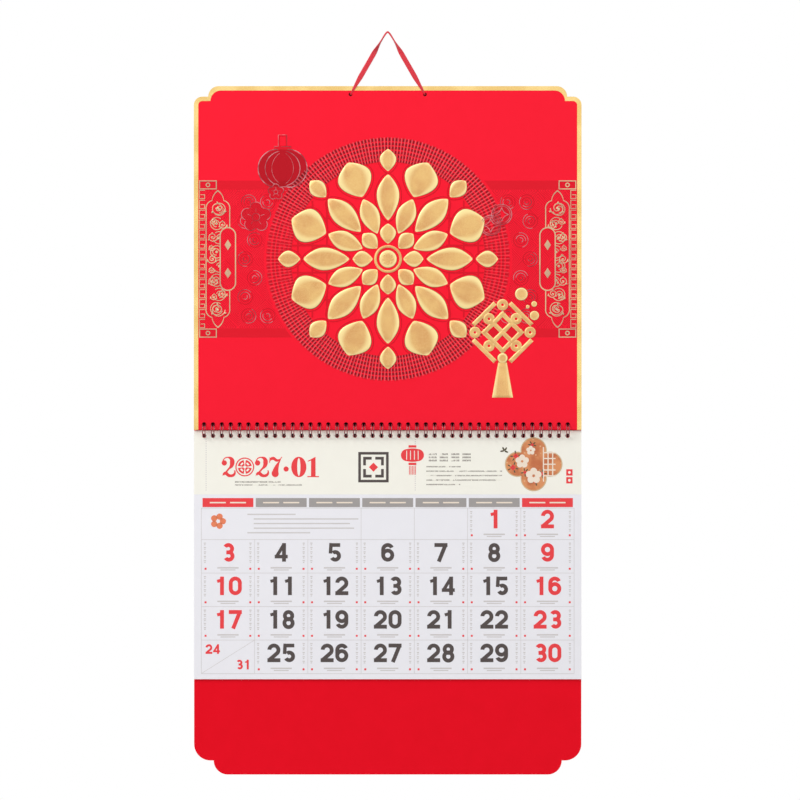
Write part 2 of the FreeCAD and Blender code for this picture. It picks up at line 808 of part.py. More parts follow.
def cord_route():
    """Corner points of the cord and the bend radius at each inner one."""
    hole_z = header_top - hang_hole_drop
    reach = hang_hole_spacing / 2
    back = header_back + cord_clearance
    bend = hook_radius + cord_diameter / 2
    crown_z = cord_diameter / 2
    slope = math.atan2(reach, crown_z - hole_z)
    for _ in range(20):
        half_turn = (math.pi / 2 - slope) / 2
        crown = bend * math.tan(half_turn) * 1.02
        slope = math.atan2(reach - crown, crown_z - hole_z)
    points = [Vector(reach, back, hole_z), Vector(reach, 0, hole_z), Vector(crown, 0, crown_z),
              Vector(-crown, 0, crown_z), Vector(-reach, 0, hole_z), Vector(-reach, back, hole_z)]
    return points, [hole_bend_radius, bend, bend, hole_bend_radius]


def hang_cord():
    """Cord from the left knot's face, through its hole, over the hook and back, drawn tight."""
    points, radii = cord_route()
    edges = []
    here = points[0]
    for i, radius in enumerate(radii, start=1):
        before = (points[i - 1] - points[i]).normalize()
        after = (points[i + 1] - points[i]).normalize()
        half = before.getAngle(after) / 2
        inset = radius / math.tan(half)
        centre = points[i] + (before + after).normalize() * (radius / math.sin(half))
        start = points[i] + before * inset
        end = points[i] + after * inset
        middle = centre + (points[i] - centre).normalize() * radius
        edges.append(Part.LineSegment(here, start).toShape())
        edges.append(Part.Arc(start, middle, end).toShape())
        here = end
    edges.append(Part.LineSegment(here, points[-1]).toShape())
    cord = tube(edges, cord_diameter / 2)
    length = sum(edge.Length for edge in edges)
    print("cord", round(length, 1), "mm, radii", radii, "volume", round(cord.Volume, 1),
          "section times length", round(length * math.pi * cord_diameter ** 2 / 4, 1))
    return cord


def cord_knot(side):
    """Round knot behind a hang hole, flat where the cord enters it."""
    radius = knot_diameter / 2
    front = header_back + cord_clearance
    body = Part.makeCylinder(radius, knot_length, Vector(side * hang_hole_spacing / 2, front,
                                                         header_top - hang_hole_drop), Vector(0, 1, 0))
    rims = [edge for edge in body.Edges if edge.isClosed()]
    return body.makeFillet(min(radius, knot_length / 2) * 0.55, rims)


def page_pad():
    """The month sheets with their row of wire holes."""
    sheet = rectangle(-board_width / 2, pad_top, board_width, pad_height)
    return raise_from([sheet] + wire_holes(pad_hole_z), pad_back, pad_back - pad_front)


def backing_card():
    """Card with the wire holes along its top and stepped lower corners."""
    left = -board_width / 2
    corner = stepped_corner(left, card_top - card_height, -1, card_shoulder_radius, card_ledge,
                            card_foot_radius)
    card = symmetric_outline((left, card_top), *corner)
    return raise_from([card] + wire_holes(card_hole_z), card_back, card_thickness)


def ink(wires):
    """Field of ink on the top sheet."""
    return raise_from(wires, pad_front, print_thickness)


def ink_on_band(wires):
    """Field of ink on the cream head band."""
    return raise_from(wires, print_front, print_thickness)


def page(across, down):
    """Place on the top sheet, from its upper middle."""
    return (across, pad_top - down)


def head_band():
    """Cream field at the top of the sheet."""
    band = rectangle(-board_width / 2, pad_top, board_width, head_band_height)
    return ink([band] + wire_holes(pad_hole_z))


def column_width():
    return (board_width - 2 * grid_margin) / 7


def weekday_bars(columns):
    """Short bars that head the columns of the month."""
    x0, z0 = page(-board_width / 2 + grid_margin, weekday_top)
    gap = column_width() * 0.045
    bars = [ink([rectangle(x0 + column_width() * i + gap / 2, z0, column_width() - gap, weekday_height)])
            for i in columns]
    return Part.makeCompound(bars)


def grid_lines():
    """Thin lines between the days."""
    x0, z0 = page(-board_width / 2 + grid_margin, grid_top)
    wide = board_width - 2 * grid_margin
    tall = first_row_height + 4 * row_height
    bars = []
    for i in range(6):
        down = 0 if i == 0 else first_row_height + row_height * (i - 1)
        bars.append(ink([rectangle(x0, z0 - down + grid_line / 2, wide, grid_line)]))
    for i in range(8):
        top = z0 if i in (0, 3, 4, 5, 6, 7) else z0 - first_row_height
        bars.append(ink([rectangle(x0 + column_width() * i - grid_line / 2, top, grid_line,
                                   top - z0 + tall)]))
    low = z0 - tall
    bars.append(ink([stroke_bar((x0, low), (x0 + column_width(), low + row_height), grid_line)]))
    return bars[0].fuse(bars[1:]).removeSplitter()


def day_place(day):
    """Column and row of a day of a month that starts on the sixth day of its week."""
    slot = day + 4
    return slot % 7, slot // 7


def number_span(text, share=1.0):
    return share * (number_width * len(text) + number_gap * (len(text) - 1))


def number(text, left, low, share=1.0):
    """Figures of one number from its lower left corner, at a share of the full size."""
    solids = []
    for i, figure in enumerate(text):
        solid = figure_solid(figure, number_width * share, number_height * share, number_stroke * share)
        solid.translate(Vector(left + share * i * (number_width + number_gap), 0, low))
        solids.append(solid)
    return solids


def date_numbers(days):
    """Numbers of the given days, each centred in its column."""
    solids = []
    for day in days:
        column, row = day_place(day)
        text = str(day)
        x0, z0 = page(-board_width / 2 + grid_margin, grid_top)
        drop = first_number_drop if row == 0 else first_row_height + row_height * (row - 1) + number_drop
        left = x0 + column_width() * (column + 0.5) - number_span(text) / 2
        solids += number(text, left, z0 - drop - number_height)
    return solids


def shared_cell_numbers():
    """Two small numbers on either side of the line across the first cell of the last row."""
    share = small_number_share
    x0, z0 = page(-board_width / 2 + grid_margin, grid_top)
    low = z0 - first_row_height - 4 * row_height
    upper = low + row_height - small_number_inset - number_height * share
    right = x0 + column_width() - small_number_inset - number_span("31", share)
    return (number("24", x0 + small_number_inset, upper, share)
            + number("31", right, low + small_number_inset, share))


def boxed(x, z, width, height, *points):
    """Closed wire through points and arcs that are given as shares of a box."""
    def placed(point):
        if isinstance(point[0], tuple):
            return (placed(point[0]), placed(point[1]))
        return (x + width * point[0], z + height * point[1])
    return outline(*[placed(point) for point in points])


def oval(x, z, width, height):
    """Upright oval centred on x, z."""
    return Part.Wire(Part.Ellipse(at(x, z + height / 2), at(x + width / 2, z), at(x, z)).toShape())


def round_seal(x, z, radius):
    """Ring about four blocks, which stands for one of the year's figures."""
    solids = [ink_on_band([circle(x, z, radius), circle(x, z, radius - title_line)])]
    for i in range(4):
        block = annular_sector(x, z, radius * 0.16, radius * 0.74, 90 * i + 9, 90 * i + 81)
        slot = annular_sector(x, z, radius * 0.36, radius * 0.54, 90 * i + 24, 90 * i + 66)
        solids.append(ink_on_band([block, slot]))
    return solids


def title_figure(figure, x, z, width):
    """One fat-faced figure of the title, as a list of solids."""
    tall = title_height
    if figure == "seal":
        return round_seal(x + width / 2, z + tall / 2, width / 2)
    if figure == "dot":
        return [ink_on_band([circle(x + width / 2, z + tall * 0.4, width / 2)])]
    if figure == "0":
        middle = (x + width / 2, z + tall / 2)
        return [ink_on_band([oval(*middle, width, tall), oval(*middle, width * 0.22, tall * 0.88)])]
    if figure == "1":
        stem = boxed(x, z, width, tall, (0.32, 0.02), (0.32, 0.82), (0.04, 0.76), (0.04, 0.8), (0.7, 1.0),
                     (0.7, 0.02))
        foot = boxed(x, z, width, tall, (0.0, 0.0), (0.0, 0.05), (1.0, 0.05), (1.0, 0.0))
        parts = [ink_on_band([stem]), ink_on_band([foot])]
    elif figure == "7":
        parts = [ink_on_band([boxed(x, z, width, tall, (0.0, 0.7), (0.05, 1.0), (0.1, 0.94),
                                    ((0.3, 1.0), (0.5, 0.94)), ((0.72, 0.88), (0.92, 1.0)), (1.0, 1.0),
                                    ((0.76, 0.62), (0.7, 0.24)), ((0.62, 0.03), (0.44, 0.0)),
                                    ((0.24, 0.08), (0.26, 0.3)), ((0.46, 0.56), (0.82, 0.82)),
                                    ((0.62, 0.76), (0.42, 0.8)), ((0.2, 0.84), (0.06, 0.7)))])]
    else:
        parts = [ink_on_band([boxed(x, z, width, tall, (0.08, 0.72), ((0.2, 0.93), (0.5, 1.0)),
                                    ((0.86, 0.93), (0.96, 0.72)), ((0.88, 0.54), (0.62, 0.4)), (0.2, 0.08),
                                    (0.1, 0.1), (0.5, 0.44), ((0.62, 0.58), (0.62, 0.74)),
                                    ((0.57, 0.91), (0.44, 0.95)), ((0.26, 0.9), (0.14, 0.72)))]),
                 ink_on_band([boxed(x, z, width, tall, (0.06, 0.0), (0.1, 0.14), ((0.3, 0.27), (0.52, 0.2)),
                                    ((0.78, 0.14), (0.93, 0.34)), (1.0, 0.34), ((0.94, 0.05), (0.7, 0.0)),
                                    ((0.52, 0.01), (0.35, 0.09)), ((0.2, 0.12), (0.06, 0.0)))]),
                 ink_on_band([circle(x + width * 0.22, z + tall * 0.7, tall * 0.13)])]
    return parts[0].fuse(parts[1:]).removeSplitter().Solids if len(parts) > 1 else parts


def month_title():
    """Year and month in plain numbers, with a round seal for the first nought and a dot between them."""
    left, z = page(title_inset - board_width / 2, title_top + title_height)
    solids = []
    for figure, across, width in title_figures:
        solids += title_figure(figure, left + across, z, width)
    return Part.makeCompound(solids)


def month_emblem():
    """Square fret ornament in dark ink, open in the middle for a diamond."""
    x, z = page(emblem_across, emblem_down)
    half = emblem_size / 2
    line = emblem_size * 0.085
    frames = [ink_on_band([rectangle(x - half, z + half, emblem_size, emblem_size),
                           rectangle(x - half + line, z + half - line, emblem_size - 2 * line,
                                     emblem_size - 2 * line)])]
    for sx in (-1, 1):
        for sz in (-1, 1):
            frames.append(ink_on_band([outline((x + sx * half * 0.68, z + sz * half * 0.68),
                                               (x + sx * half * 0.12, z + sz * half * 0.68),
                                               (x + sx * half * 0.12, z + sz * half * 0.5),
                                               (x + sx * half * 0.5, z + sz * half * 0.5),
                                               (x + sx * half * 0.5, z + sz * half * 0.12),
                                               (x + sx * half * 0.68, z + sz * half * 0.12))]))
    return Part.makeCompound(frames)


def red_marks():
    """Diamond in the emblem, lantern, and two small seals, in red ink on the head band."""
    x, z = page(emblem_across, emblem_down)
    mark = emblem_size * 0.15
    solids = [ink_on_band([outline((x - mark, z), (x, z + mark), (x + mark, z), (x, z - mark))])]
    x, z = page(lantern_across, lantern_down)
    half = lantern_width / 2
    body = outline((x - half * 0.5, z + half * 0.52),
                   ((x, z + half * 0.58), (x + half * 0.5, z + half * 0.52)),
                   ((x + half, z), (x + half * 0.5, z - half * 0.52)),
                   ((x, z - half * 0.58), (x - half * 0.5, z - half * 0.52)),
                   ((x - half, z), (x - half * 0.5, z + half * 0.52)))
    ribs = [capsule(x + half * share, z, half * 0.07, half * 0.8) for share in (-0.5, -0.17, 0.17, 0.5)]
    solids.append(ink_on_band([body] + ribs))
    solids.append(ink_on_band([rectangle(x - half * 0.34, z + half * 0.86, half * 0.68, half * 0.2)]))
    solids.append(ink_on_band([rectangle(x - half * 0.34, z - half * 0.66, half * 0.68, half * 0.2)]))
    for i in range(-2, 3):
        solids.append(ink_on_band([rectangle(x + half * (0.13 * i - 0.03), z - half * 0.94, half * 0.06,
                                             half * 0.75)]))
    for down in (seal_down, seal_down + 1.25 * seal_width):
        x, z = page(board_width / 2 - seal_inset, down)
        solids.append(ink_on_band([rectangle(x - seal_width / 2, z + seal_width / 2, seal_width, seal_width),
                                   circle(x, z, seal_width * 0.22)]))
    return Part.makeCompound(solids)


def quatrefoil(across, down, width, height):
    """Four-lobed picture outline."""
    x, z = page(across, down)
    w = width / 2
    h = height / 2
    c = 0.45
    return outline((x - w * c, z + h * c), ((x, z + h), (x + w * c, z + h * c)),
                   ((x + w, z), (x + w * c, z - h * c)), ((x, z - h), (x - w * c, z - h * c)),
                   ((x - w, z), (x - w * c, z + h * c)))


def picture_field():
    """Plain field of the small picture."""
    return ink_on_band([quatrefoil(board_width / 2 - picture_inset, picture_down, picture_width, picture_height)])


def picture_blossoms():
    """Pale blossoms and window bars of the small picture."""
    x, z = page(board_width / 2 - picture_inset, picture_down)
    front = print_front - print_thickness
    size = picture_width

    def pale(wires):
        return raise_from(wires, front, print_thickness)

    solids = []
    for across, up, reach in ((-0.2, 0.05, 0.12), (0.0, -0.2, 0.14), (-0.05, 0.24, 0.08)):
        petals = [pale([circle(x + across * size + reach * size * 0.58 * math.cos(math.radians(90 + 72 * i)),
                               z + up * size + reach * size * 0.58 * math.sin(math.radians(90 + 72 * i)),
                               reach * size * 0.42)]) for i in range(5)]
        solids.append(petals[0].fuse(petals[1:]).removeSplitter())
    bars = [pale([rectangle(x + size * 0.16, z + size * 0.3, size * 0.02, size * 0.6)])]
    for up in (0.2, 0.1, 0.0, -0.1, -0.2):
        bars.append(pale([rectangle(x + size * 0.16, z + size * (up + 0.01), size * 0.22, size * 0.02)]))
    for across in (0.24, 0.32):
        bars.append(pale([rectangle(x + size * across, z + size * 0.21, size * 0.02, size * 0.42)]))
    solids.append(bars[0].fuse(bars[1:]).removeSplitter())
    return Part.makeCompound(solids)


def text_lines():
    """Heading blocks and lines that stand where the head band has its words."""
    solids = []
    for i in range(4):
        x, z = page(heading_left + i * heading_pitch, heading_down)
        solids.append(ink_on_band([rectangle(x, z, heading_pitch * 0.72, 1.6)]))
        solids.append(ink_on_band([rectangle(x, z - 3.0, heading_pitch * 0.72, 1.6)]))
        solids.append(ink_on_band([rectangle(x, z - 6.0, heading_pitch * 0.72, 1.6)]))
    for i in range(5):
        x, z = page(paragraph_start, paragraph_down + paragraph_pitch * i)
        long = paragraph_width if 0 < i < 4 else paragraph_width * 0.45
        solids.append(ink_on_band([rectangle(x, z, long, 1.1)]))
    x, z = page(title_inset - board_width / 2, title_top + title_height + 4)
    solids.append(ink_on_band([rectangle(x + 13, z, 44, 1.2)]))
    solids.append(ink_on_band([rectangle(x + 13, z - 3, 64, 1.0)]))
    return Part.makeCompound(solids)


os.makedirs("parts", exist_ok=True)
write(header_board(), "header_board")
write(header_border(), "header_border")
write(medallion(), "medallion")
write(knot_and_coins(), "knot_and_coins")
write(side_ornament(-1), "ornament_left")
write(side_ornament(1), "ornament_right")
write(hang_cord(), "hang_cord")
write(cord_knot(-1), "cord_knot_left")
write(cord_knot(1), "cord_knot_right")
write(binding_wire(), "binding_wire")
write(page_pad(), "page_pad")
write(head_band(), "head_band")
write(month_title(), "month_title")
write(month_emblem(), "month_emblem")
write(red_marks(), "red_marks")
write(picture_field(), "picture_field")
write(picture_blossoms(), "picture_blossoms")
write(text_lines(), "text_lines")
write(weekday_bars((0, 6)), "weekday_bars_red")
write(weekday_bars((1, 2, 3, 4, 5)), "weekday_bars_grey")
write(grid_lines(), "grid_lines")
rest_days = [1, 2, 3, 9, 10, 16, 17, 23, 30]
work_days = [day for day in range(4, 31) if day not in rest_days and day != 24]
write(Part.makeCompound(date_numbers(rest_days) + shared_cell_numbers()), "date_numbers_red")
write(Part.makeCompound(date_numbers(work_days)), "date_numbers_dark")
write(backing_card(), "backing_card")
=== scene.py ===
"""Wall calendar dressed for rendering: gold relief and foil, embossed red board, ribbon, sheets and print."""

import math
import random

import bmesh
import bpy
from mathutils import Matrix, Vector


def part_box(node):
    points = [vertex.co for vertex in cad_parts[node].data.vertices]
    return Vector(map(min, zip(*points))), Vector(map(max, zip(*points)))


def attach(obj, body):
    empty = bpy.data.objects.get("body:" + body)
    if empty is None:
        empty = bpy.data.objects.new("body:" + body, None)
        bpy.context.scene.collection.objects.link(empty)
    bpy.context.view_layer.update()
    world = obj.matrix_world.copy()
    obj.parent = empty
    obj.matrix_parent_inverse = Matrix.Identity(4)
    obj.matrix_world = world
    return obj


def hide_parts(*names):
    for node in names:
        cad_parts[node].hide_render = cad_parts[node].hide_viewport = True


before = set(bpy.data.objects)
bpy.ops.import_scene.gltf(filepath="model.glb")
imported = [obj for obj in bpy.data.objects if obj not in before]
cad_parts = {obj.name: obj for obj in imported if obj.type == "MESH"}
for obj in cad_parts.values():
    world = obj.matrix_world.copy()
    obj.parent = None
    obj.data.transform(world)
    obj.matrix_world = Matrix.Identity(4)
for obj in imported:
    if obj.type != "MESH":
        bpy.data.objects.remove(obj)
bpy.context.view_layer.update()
MM = 0.001
random.seed(27)

# Places read from the frame
board_low, board_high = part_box("header_board")
pad_low, pad_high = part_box("page_pad")
card_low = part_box("backing_card")[0]
medal_low, medal_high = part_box("medallion")
page_y = pad_low.y
page_top = pad_high.z
page_half = (pad_high.x - pad_low.x) / 2
band_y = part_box("head_band")[0].y
board_thickness = 2.0 * MM
board_y = board_high.y - board_thickness
ring_x = (medal_low.x + medal_high.x) / 2
ring_z = (medal_low.z + medal_high.z) / 2

# Sizes that the photograph gives
pixel = 0.9544 * MM
frame_pixels = 800
ring_outer = 116.4 * MM
ring_inner = 92.6 * MM
band_half = 75.0 * MM
band_strip = 8.6 * MM
relief = 1.15 * MM
medallion_heart = 8.6 * MM
petal_count = 8
knot_width = 58.0 * MM
ornament_edge = 150.3 * MM
lantern_across = -100.6 * MM
lantern_up = 86.4 * MM
lantern_tall = 35.0 * MM
lantern_bows = (23.4, 16.6, 10.2, 4.4)
print_lift = 0.03 * MM
ribbon_width = 4.8 * MM
ribbon_thickness = 0.45 * MM
sheet_count = 13
grid_margin = 7.0 * MM
grid_drop = 74.1 * MM
first_row = 30.0 * MM
row_height = 32.0 * MM
column = (2 * page_half - 2 * grid_margin) / 7
grid_left = pad_low.x + grid_margin

# Rows of holes for the wire
hole_count = 42
hole_pitch = 25.4 * MM / 3
hole_shift = -1.7 * MM
hole_drop = 5.0 * MM
hole_radius = 2.1 * MM

# Heights of the pressed lines, as shares of the relief
outline_level = 0.34
raised_level = 0.46
heart_level = 0.64


def srgb(text):
    """Linear colour of a six figure colour code."""
    values = [int(text[i:i + 2], 16) / 255 for i in (0, 2, 4)]
    return tuple([v / 12.92 if v <= 0.04045 else ((v + 0.055) / 1.055) ** 2.4 for v in values] + [1.0])


# Node helpers


class Nodes:
    """Short way to add nodes to one tree and join them."""

    def __init__(self, tree):
        self.tree = tree
        self.count = 0

    def add(self, kind, settings=None, **inputs):
        node = self.tree.nodes.new(kind)
        node.location = (220 * (self.count % 8) - 1600, -260 * (self.count // 8))
        self.count += 1
        for name, value in (settings or {}).items():
            setattr(node, name, value)
        for name, value in inputs.items():
            self.put(node, name.replace("_", " "), value)
        return node

    def put(self, node, name, value):
        socket = node.inputs[int(name)] if name.isdigit() else node.inputs[name]
        if isinstance(value, bpy.types.NodeSocket):
            self.tree.links.new(value, socket)
        else:
            socket.default_value = srgb(value) if isinstance(value, str) else value

    def math(self, operation, a, b=0.5, c=None):
        node = self.add("ShaderNodeMath", {"operation": operation})
        self.put(node, "0", a)
        self.put(node, "1", b)
        if c is not None:
            self.put(node, "2", c)
        return node.outputs[0]

    def plus(self, a, b):
        return self.math("ADD", a, b)

    def minus(self, a, b):
        return self.math("SUBTRACT", a, b)

    def times(self, a, b):
        return self.math("MULTIPLY", a, b)

    def noise(self, where, scale, detail):
        node = self.add("ShaderNodeTexNoise", Vector=where, Scale=scale, Detail=detail)
        return node.outputs["Fac"]

    def mix(self, share, a, b):
        node = self.add("ShaderNodeMix", {"data_type": "RGBA"})
        self.put(node, "0", share)
        self.put(node, "6", a)
        self.put(node, "7", b)
        return node.outputs[2]

    def ramp(self, value, low, high):
        node = self.add("ShaderNodeMapRange", {"interpolation_type": "SMOOTHSTEP"}, Value=value)
        self.put(node, "From Min", low)
        self.put(node, "From Max", high)
        return node.outputs[0]

    def bump(self, height, strength, distance, normal=None):
        node = self.add("ShaderNodeBump", Height=height, Strength=strength, Distance=distance)
        if normal is not None:
            self.put(node, "Normal", normal)
        return node.outputs[0]

    def surface(self, shader, colour, normal, roughness=None):
        self.put(shader, "Base Color", colour)
        self.put(shader, "Normal", normal)
        if roughness is not None:
            self.put(shader, "Roughness", roughness)

    def give(self, outputs, **values):
        """Join values to the outputs of a node group."""
        for name, value in values.items():
            self.tree.links.new(value, outputs[name])
        return self.tree


def new_group(name, inputs, outputs):
    """Node group with the given float inputs, a Vector input and named outputs."""
    tree = bpy.data.node_groups.new(name, "ShaderNodeTree")
    tree.interface.new_socket("Vector", in_out="INPUT", socket_type="NodeSocketVector")
    for title, value in inputs.items():
        socket = tree.interface.new_socket(title, in_out="INPUT", socket_type="NodeSocketFloat")
        socket.default_value = value
    for title in outputs:
        tree.interface.new_socket(title, in_out="OUTPUT", socket_type="NodeSocketFloat")
    nodes = Nodes(tree)
    entry = tree.nodes.new("NodeGroupInput")
    leave = tree.nodes.new("NodeGroupOutput")
    entry.location = (-1900, 0)
    leave.location = (500, 0)
    return nodes, entry.outputs, leave.inputs


def fibre_group():
    """Paper tooth: fine cloudy noise with short fibres."""
    nodes, inputs, outputs = new_group("paper fibre", {"Scale": 900.0}, ["Cloud", "Fibre"])
    cloud = nodes.noise(inputs["Vector"], 60.0, 3.0)
    stretch = nodes.add("ShaderNodeMapping", Vector=inputs["Vector"])
    nodes.put(stretch, "Scale", (1.0, 1.0, 0.35))
    fibre = nodes.noise(stretch.outputs[0], inputs["Scale"], 4.0)
    return nodes.give(outputs, Cloud=cloud, Fibre=fibre)


def grain_group():
    """Fine sandy grain of pressed foil."""
    nodes, inputs, outputs = new_group("foil grain", {"Scale": 2200.0}, ["Grain", "Mottle"])
    grain = nodes.noise(inputs["Vector"], inputs["Scale"], 2.0)
    mottle = nodes.noise(inputs["Vector"], 45.0, 2.0)
    return nodes.give(outputs, Grain=grain, Mottle=mottle)


def height_group():
    """Whether a point is a little or well above the board's plain front, and whether it is on the front."""
    nodes, inputs, outputs = new_group("board height", {}, ["Low", "High", "Front"])
    parts = nodes.add("ShaderNodeSeparateXYZ", Vector=inputs["Vector"])
    out = nodes.minus(board_y, parts.outputs["Y"])
    return nodes.give(outputs, Low=nodes.ramp(out, 0.03 * MM, 0.06 * MM),
                      High=nodes.ramp(out, 0.14 * MM, 0.2 * MM),
                      Front=nodes.ramp(out, -1.2 * MM, -1.0 * MM))


def radial_group():
    """Distance and angle about the middle of the ring, from object coordinates."""
    nodes, inputs, outputs = new_group("ring polar", {}, ["Radius", "Turn", "Across", "Up"])
    parts = nodes.add("ShaderNodeSeparateXYZ", Vector=inputs["Vector"])
    across = nodes.minus(parts.outputs["X"], ring_x)
    up = nodes.minus(parts.outputs["Z"], ring_z)
    squares = nodes.plus(nodes.times(across, across), nodes.times(up, up))
    turn = nodes.math("DIVIDE", nodes.math("ARCTAN2", up, across), 2 * math.pi)
    return nodes.give(outputs, Radius=nodes.math("SQRT", squares), Turn=turn, Across=across, Up=up)


groups = {"fibre": fibre_group(), "grain": grain_group(), "height": height_group(), "polar": radial_group()}


def new_material(name, colour, roughness, metallic=0.0):
    material = bpy.data.materials.new(name)
    material.use_nodes = True
    tree = material.node_tree
    shader = tree.nodes["Principled BSDF"]
    shader.inputs["Base Color"].default_value = srgb(colour)
    shader.inputs["Roughness"].default_value = roughness
    shader.inputs["Metallic"].default_value = metallic
    nodes = Nodes(tree)
    where = nodes.add("ShaderNodeTexCoord").outputs["Object"]
    return material, nodes, shader, where


def group_node(nodes, name, where, **inputs):
    node = nodes.add("ShaderNodeGroup", {"node_tree": groups[name]}, Vector=where)
    for title, value in inputs.items():
        nodes.put(node, title, value)
    return node.outputs


def stripe(nodes, value, pitch, share):
    """1 on a share of each pitch along value, 0 elsewhere, with soft edges."""
    turn = nodes.math("FRACT", nodes.math("DIVIDE", value, pitch))
    middle = nodes.math("ABSOLUTE", nodes.minus(turn, 0.5))
    return nodes.ramp(middle, share / 2 + 0.08, share / 2 - 0.08)


def red_board_material():
    """Satin red wrap: pressed brocade at the sides, dashes in the ring coloured with painted shade and a
    painted highlight beside each, and painted shade where it is raised, deeper on the lantern.
    """
    material, nodes, shader, where = new_material("red embossed wrap", "f5142c", 0.5)
    polar = group_node(nodes, "polar", where)
    level = group_node(nodes, "height", where)
    fibre = group_node(nodes, "fibre", where, Scale=1400.0)
    in_ring = nodes.times(nodes.ramp(polar["Radius"], ring_inner, ring_inner + 0.6 * MM),
                   nodes.ramp(polar["Radius"], ring_outer, ring_outer - 0.6 * MM))
    spokes = 216.0
    dash = nodes.times(stripe(nodes, nodes.times(polar["Turn"], spokes), 1.0, 0.4),
                stripe(nodes, polar["Radius"], 4.0 * MM, 0.66))
    height = nodes.math("ABSOLUTE", polar["Up"])
    fade = nodes.ramp(height, 12.0 * MM, 75.0 * MM)
    ring_share = nodes.times(nodes.times(in_ring, level["Front"]), nodes.math("MULTIPLY_ADD", fade, 0.6, 0.4))
    dashes = nodes.times(dash, ring_share)

    outside = nodes.times(nodes.ramp(polar["Radius"], ring_outer + 1.5 * MM, ring_outer + 2.5 * MM),
                   level["Front"])
    strip_foot = band_half - band_strip
    in_band = nodes.times(outside, nodes.ramp(height, strip_foot, strip_foot - 0.4 * MM))
    shift = nodes.times(nodes.noise(where, 38.0, 1.0), 9.0 * MM)
    cell = 26.0 * MM
    u = nodes.math("PINGPONG", nodes.plus(polar["Across"], polar["Up"]), cell / 2)
    v = nodes.math("PINGPONG", nodes.minus(polar["Across"], polar["Up"]), cell / 2)
    depth = nodes.plus(nodes.math("MINIMUM", u, v), shift)
    contour = nodes.times(stripe(nodes, depth, 2.3 * MM, 0.42), in_band)

    pressed = nodes.math("MAXIMUM", dashes, nodes.times(contour, 0.6))
    strip = nodes.times(outside, nodes.times(nodes.ramp(height, band_half, band_half - 0.3 * MM),
                                      nodes.ramp(height, strip_foot - 0.3 * MM, strip_foot)))
    tone = nodes.mix(nodes.times(fibre["Cloud"], 0.5), "f91430", "f10f28")
    tone = nodes.mix(nodes.times(strip, 0.55), tone, "c8101f")
    tone = nodes.mix(nodes.times(contour, 0.34), tone, "9c0412")
    # painted shade: raised places of the board are mixed towards a darker red
    tone = nodes.mix(nodes.times(level["High"], 0.44), tone, "a80716")
    # painted shade: the raised places inside the lantern's oval are mixed towards a deep red
    lean = nodes.minus(polar["Across"], lantern_across)
    lean = nodes.math("DIVIDE", lean, lantern_bows[0] * MM)
    rise = nodes.math("DIVIDE", nodes.minus(polar["Up"], lantern_up), lantern_tall / 2)
    reach = nodes.plus(nodes.times(lean, lean), nodes.times(rise, rise))
    lantern = nodes.times(nodes.ramp(reach, 1.15, 1.0), level["Low"])
    tone = nodes.mix(nodes.times(lantern, 0.5), tone, "86050f")
    # painted shade: the pressed dashes in the ring are coloured near black red
    tone = nodes.mix(nodes.times(dashes, 0.85), tone, "4c0a12")
    # painted highlight: a pale rose stripe beside each dash
    beside = nodes.math("MULTIPLY_ADD", polar["Turn"], spokes, 0.42)
    glint = nodes.times(stripe(nodes, beside, 1.0, 0.22), ring_share)
    tone = nodes.mix(nodes.times(glint, 0.42), tone, "c98d90")
    rough = nodes.plus(0.46, nodes.times(fibre["Fibre"], 0.12))
    fine = nodes.bump(fibre["Fibre"], 0.12, 0.05 * MM)
    nodes.surface(shader, tone, nodes.bump(nodes.minus(1.0, pressed), 0.7, 0.25 * MM, fine), rough)
    shader.inputs["Specular IOR Level"].default_value = 0.16
    return material


def red_card_material():
    material, nodes, shader, where = new_material("red card", "e50c22", 0.5)
    fibre = group_node(nodes, "fibre", where, Scale=1100.0)
    rough = nodes.plus(0.5, nodes.times(fibre["Fibre"], 0.15))
    nodes.surface(shader, nodes.mix(fibre["Cloud"], "ec0420", "e4031b"),
                  nodes.bump(fibre["Fibre"], 0.15, 0.05 * MM), rough)
    shader.inputs["Specular IOR Level"].default_value = 0.1
    return material


def gold_material(name, low, high, edge, roughness, metallic, scale):
    """Pressed gold: sandy grain, cloudy tone, a painted highlight paler towards the edges of each form, and a
    thin painted shade line at the very edge.
    """
    material, nodes, shader, where = new_material(name, high, roughness, metallic)
    grain = group_node(nodes, "grain", where, Scale=scale)
    rim = nodes.add("ShaderNodeAttribute", {"attribute_name": "rim"})
    tone = nodes.mix(nodes.ramp(grain["Mottle"], 0.35, 0.65), low, high)
    speckle = nodes.ramp(grain["Grain"], 0.42, 0.62)
    tone = nodes.mix(nodes.times(speckle, 0.35), tone, edge)
    # painted highlight: paler towards the edges of each form
    tone = nodes.mix(nodes.ramp(rim.outputs["Fac"], 0.45, 0.85), tone, edge)
    # painted shade: a thin dark brown line at the very edge
    tone = nodes.mix(nodes.ramp(rim.outputs["Fac"], 0.93, 1.0), tone, "5a2c1c")
    rough = nodes.plus(roughness - 0.05, nodes.times(speckle, 0.12))
    nodes.surface(shader, tone, nodes.bump(grain["Grain"], 0.25, 0.08 * MM), rough)
    return material


def painted_highlight_outline_material():
    """Painted grey rose highlight on the pressed outlines of the red wrap, mottled with darker red."""
    material, nodes, shader, where = new_material("pressed outline", "b0606a", 0.4)
    patch = nodes.noise(where, 90.0, 2.0)
    # painted highlight: the outline colour stands in for light on the pressed beads
    tone = nodes.mix(nodes.ramp(patch, 0.4, 0.6), "8c2430", "c9868c")
    nodes.surface(shader, tone, nodes.bump(patch, 0.1, 0.03 * MM))
    return material


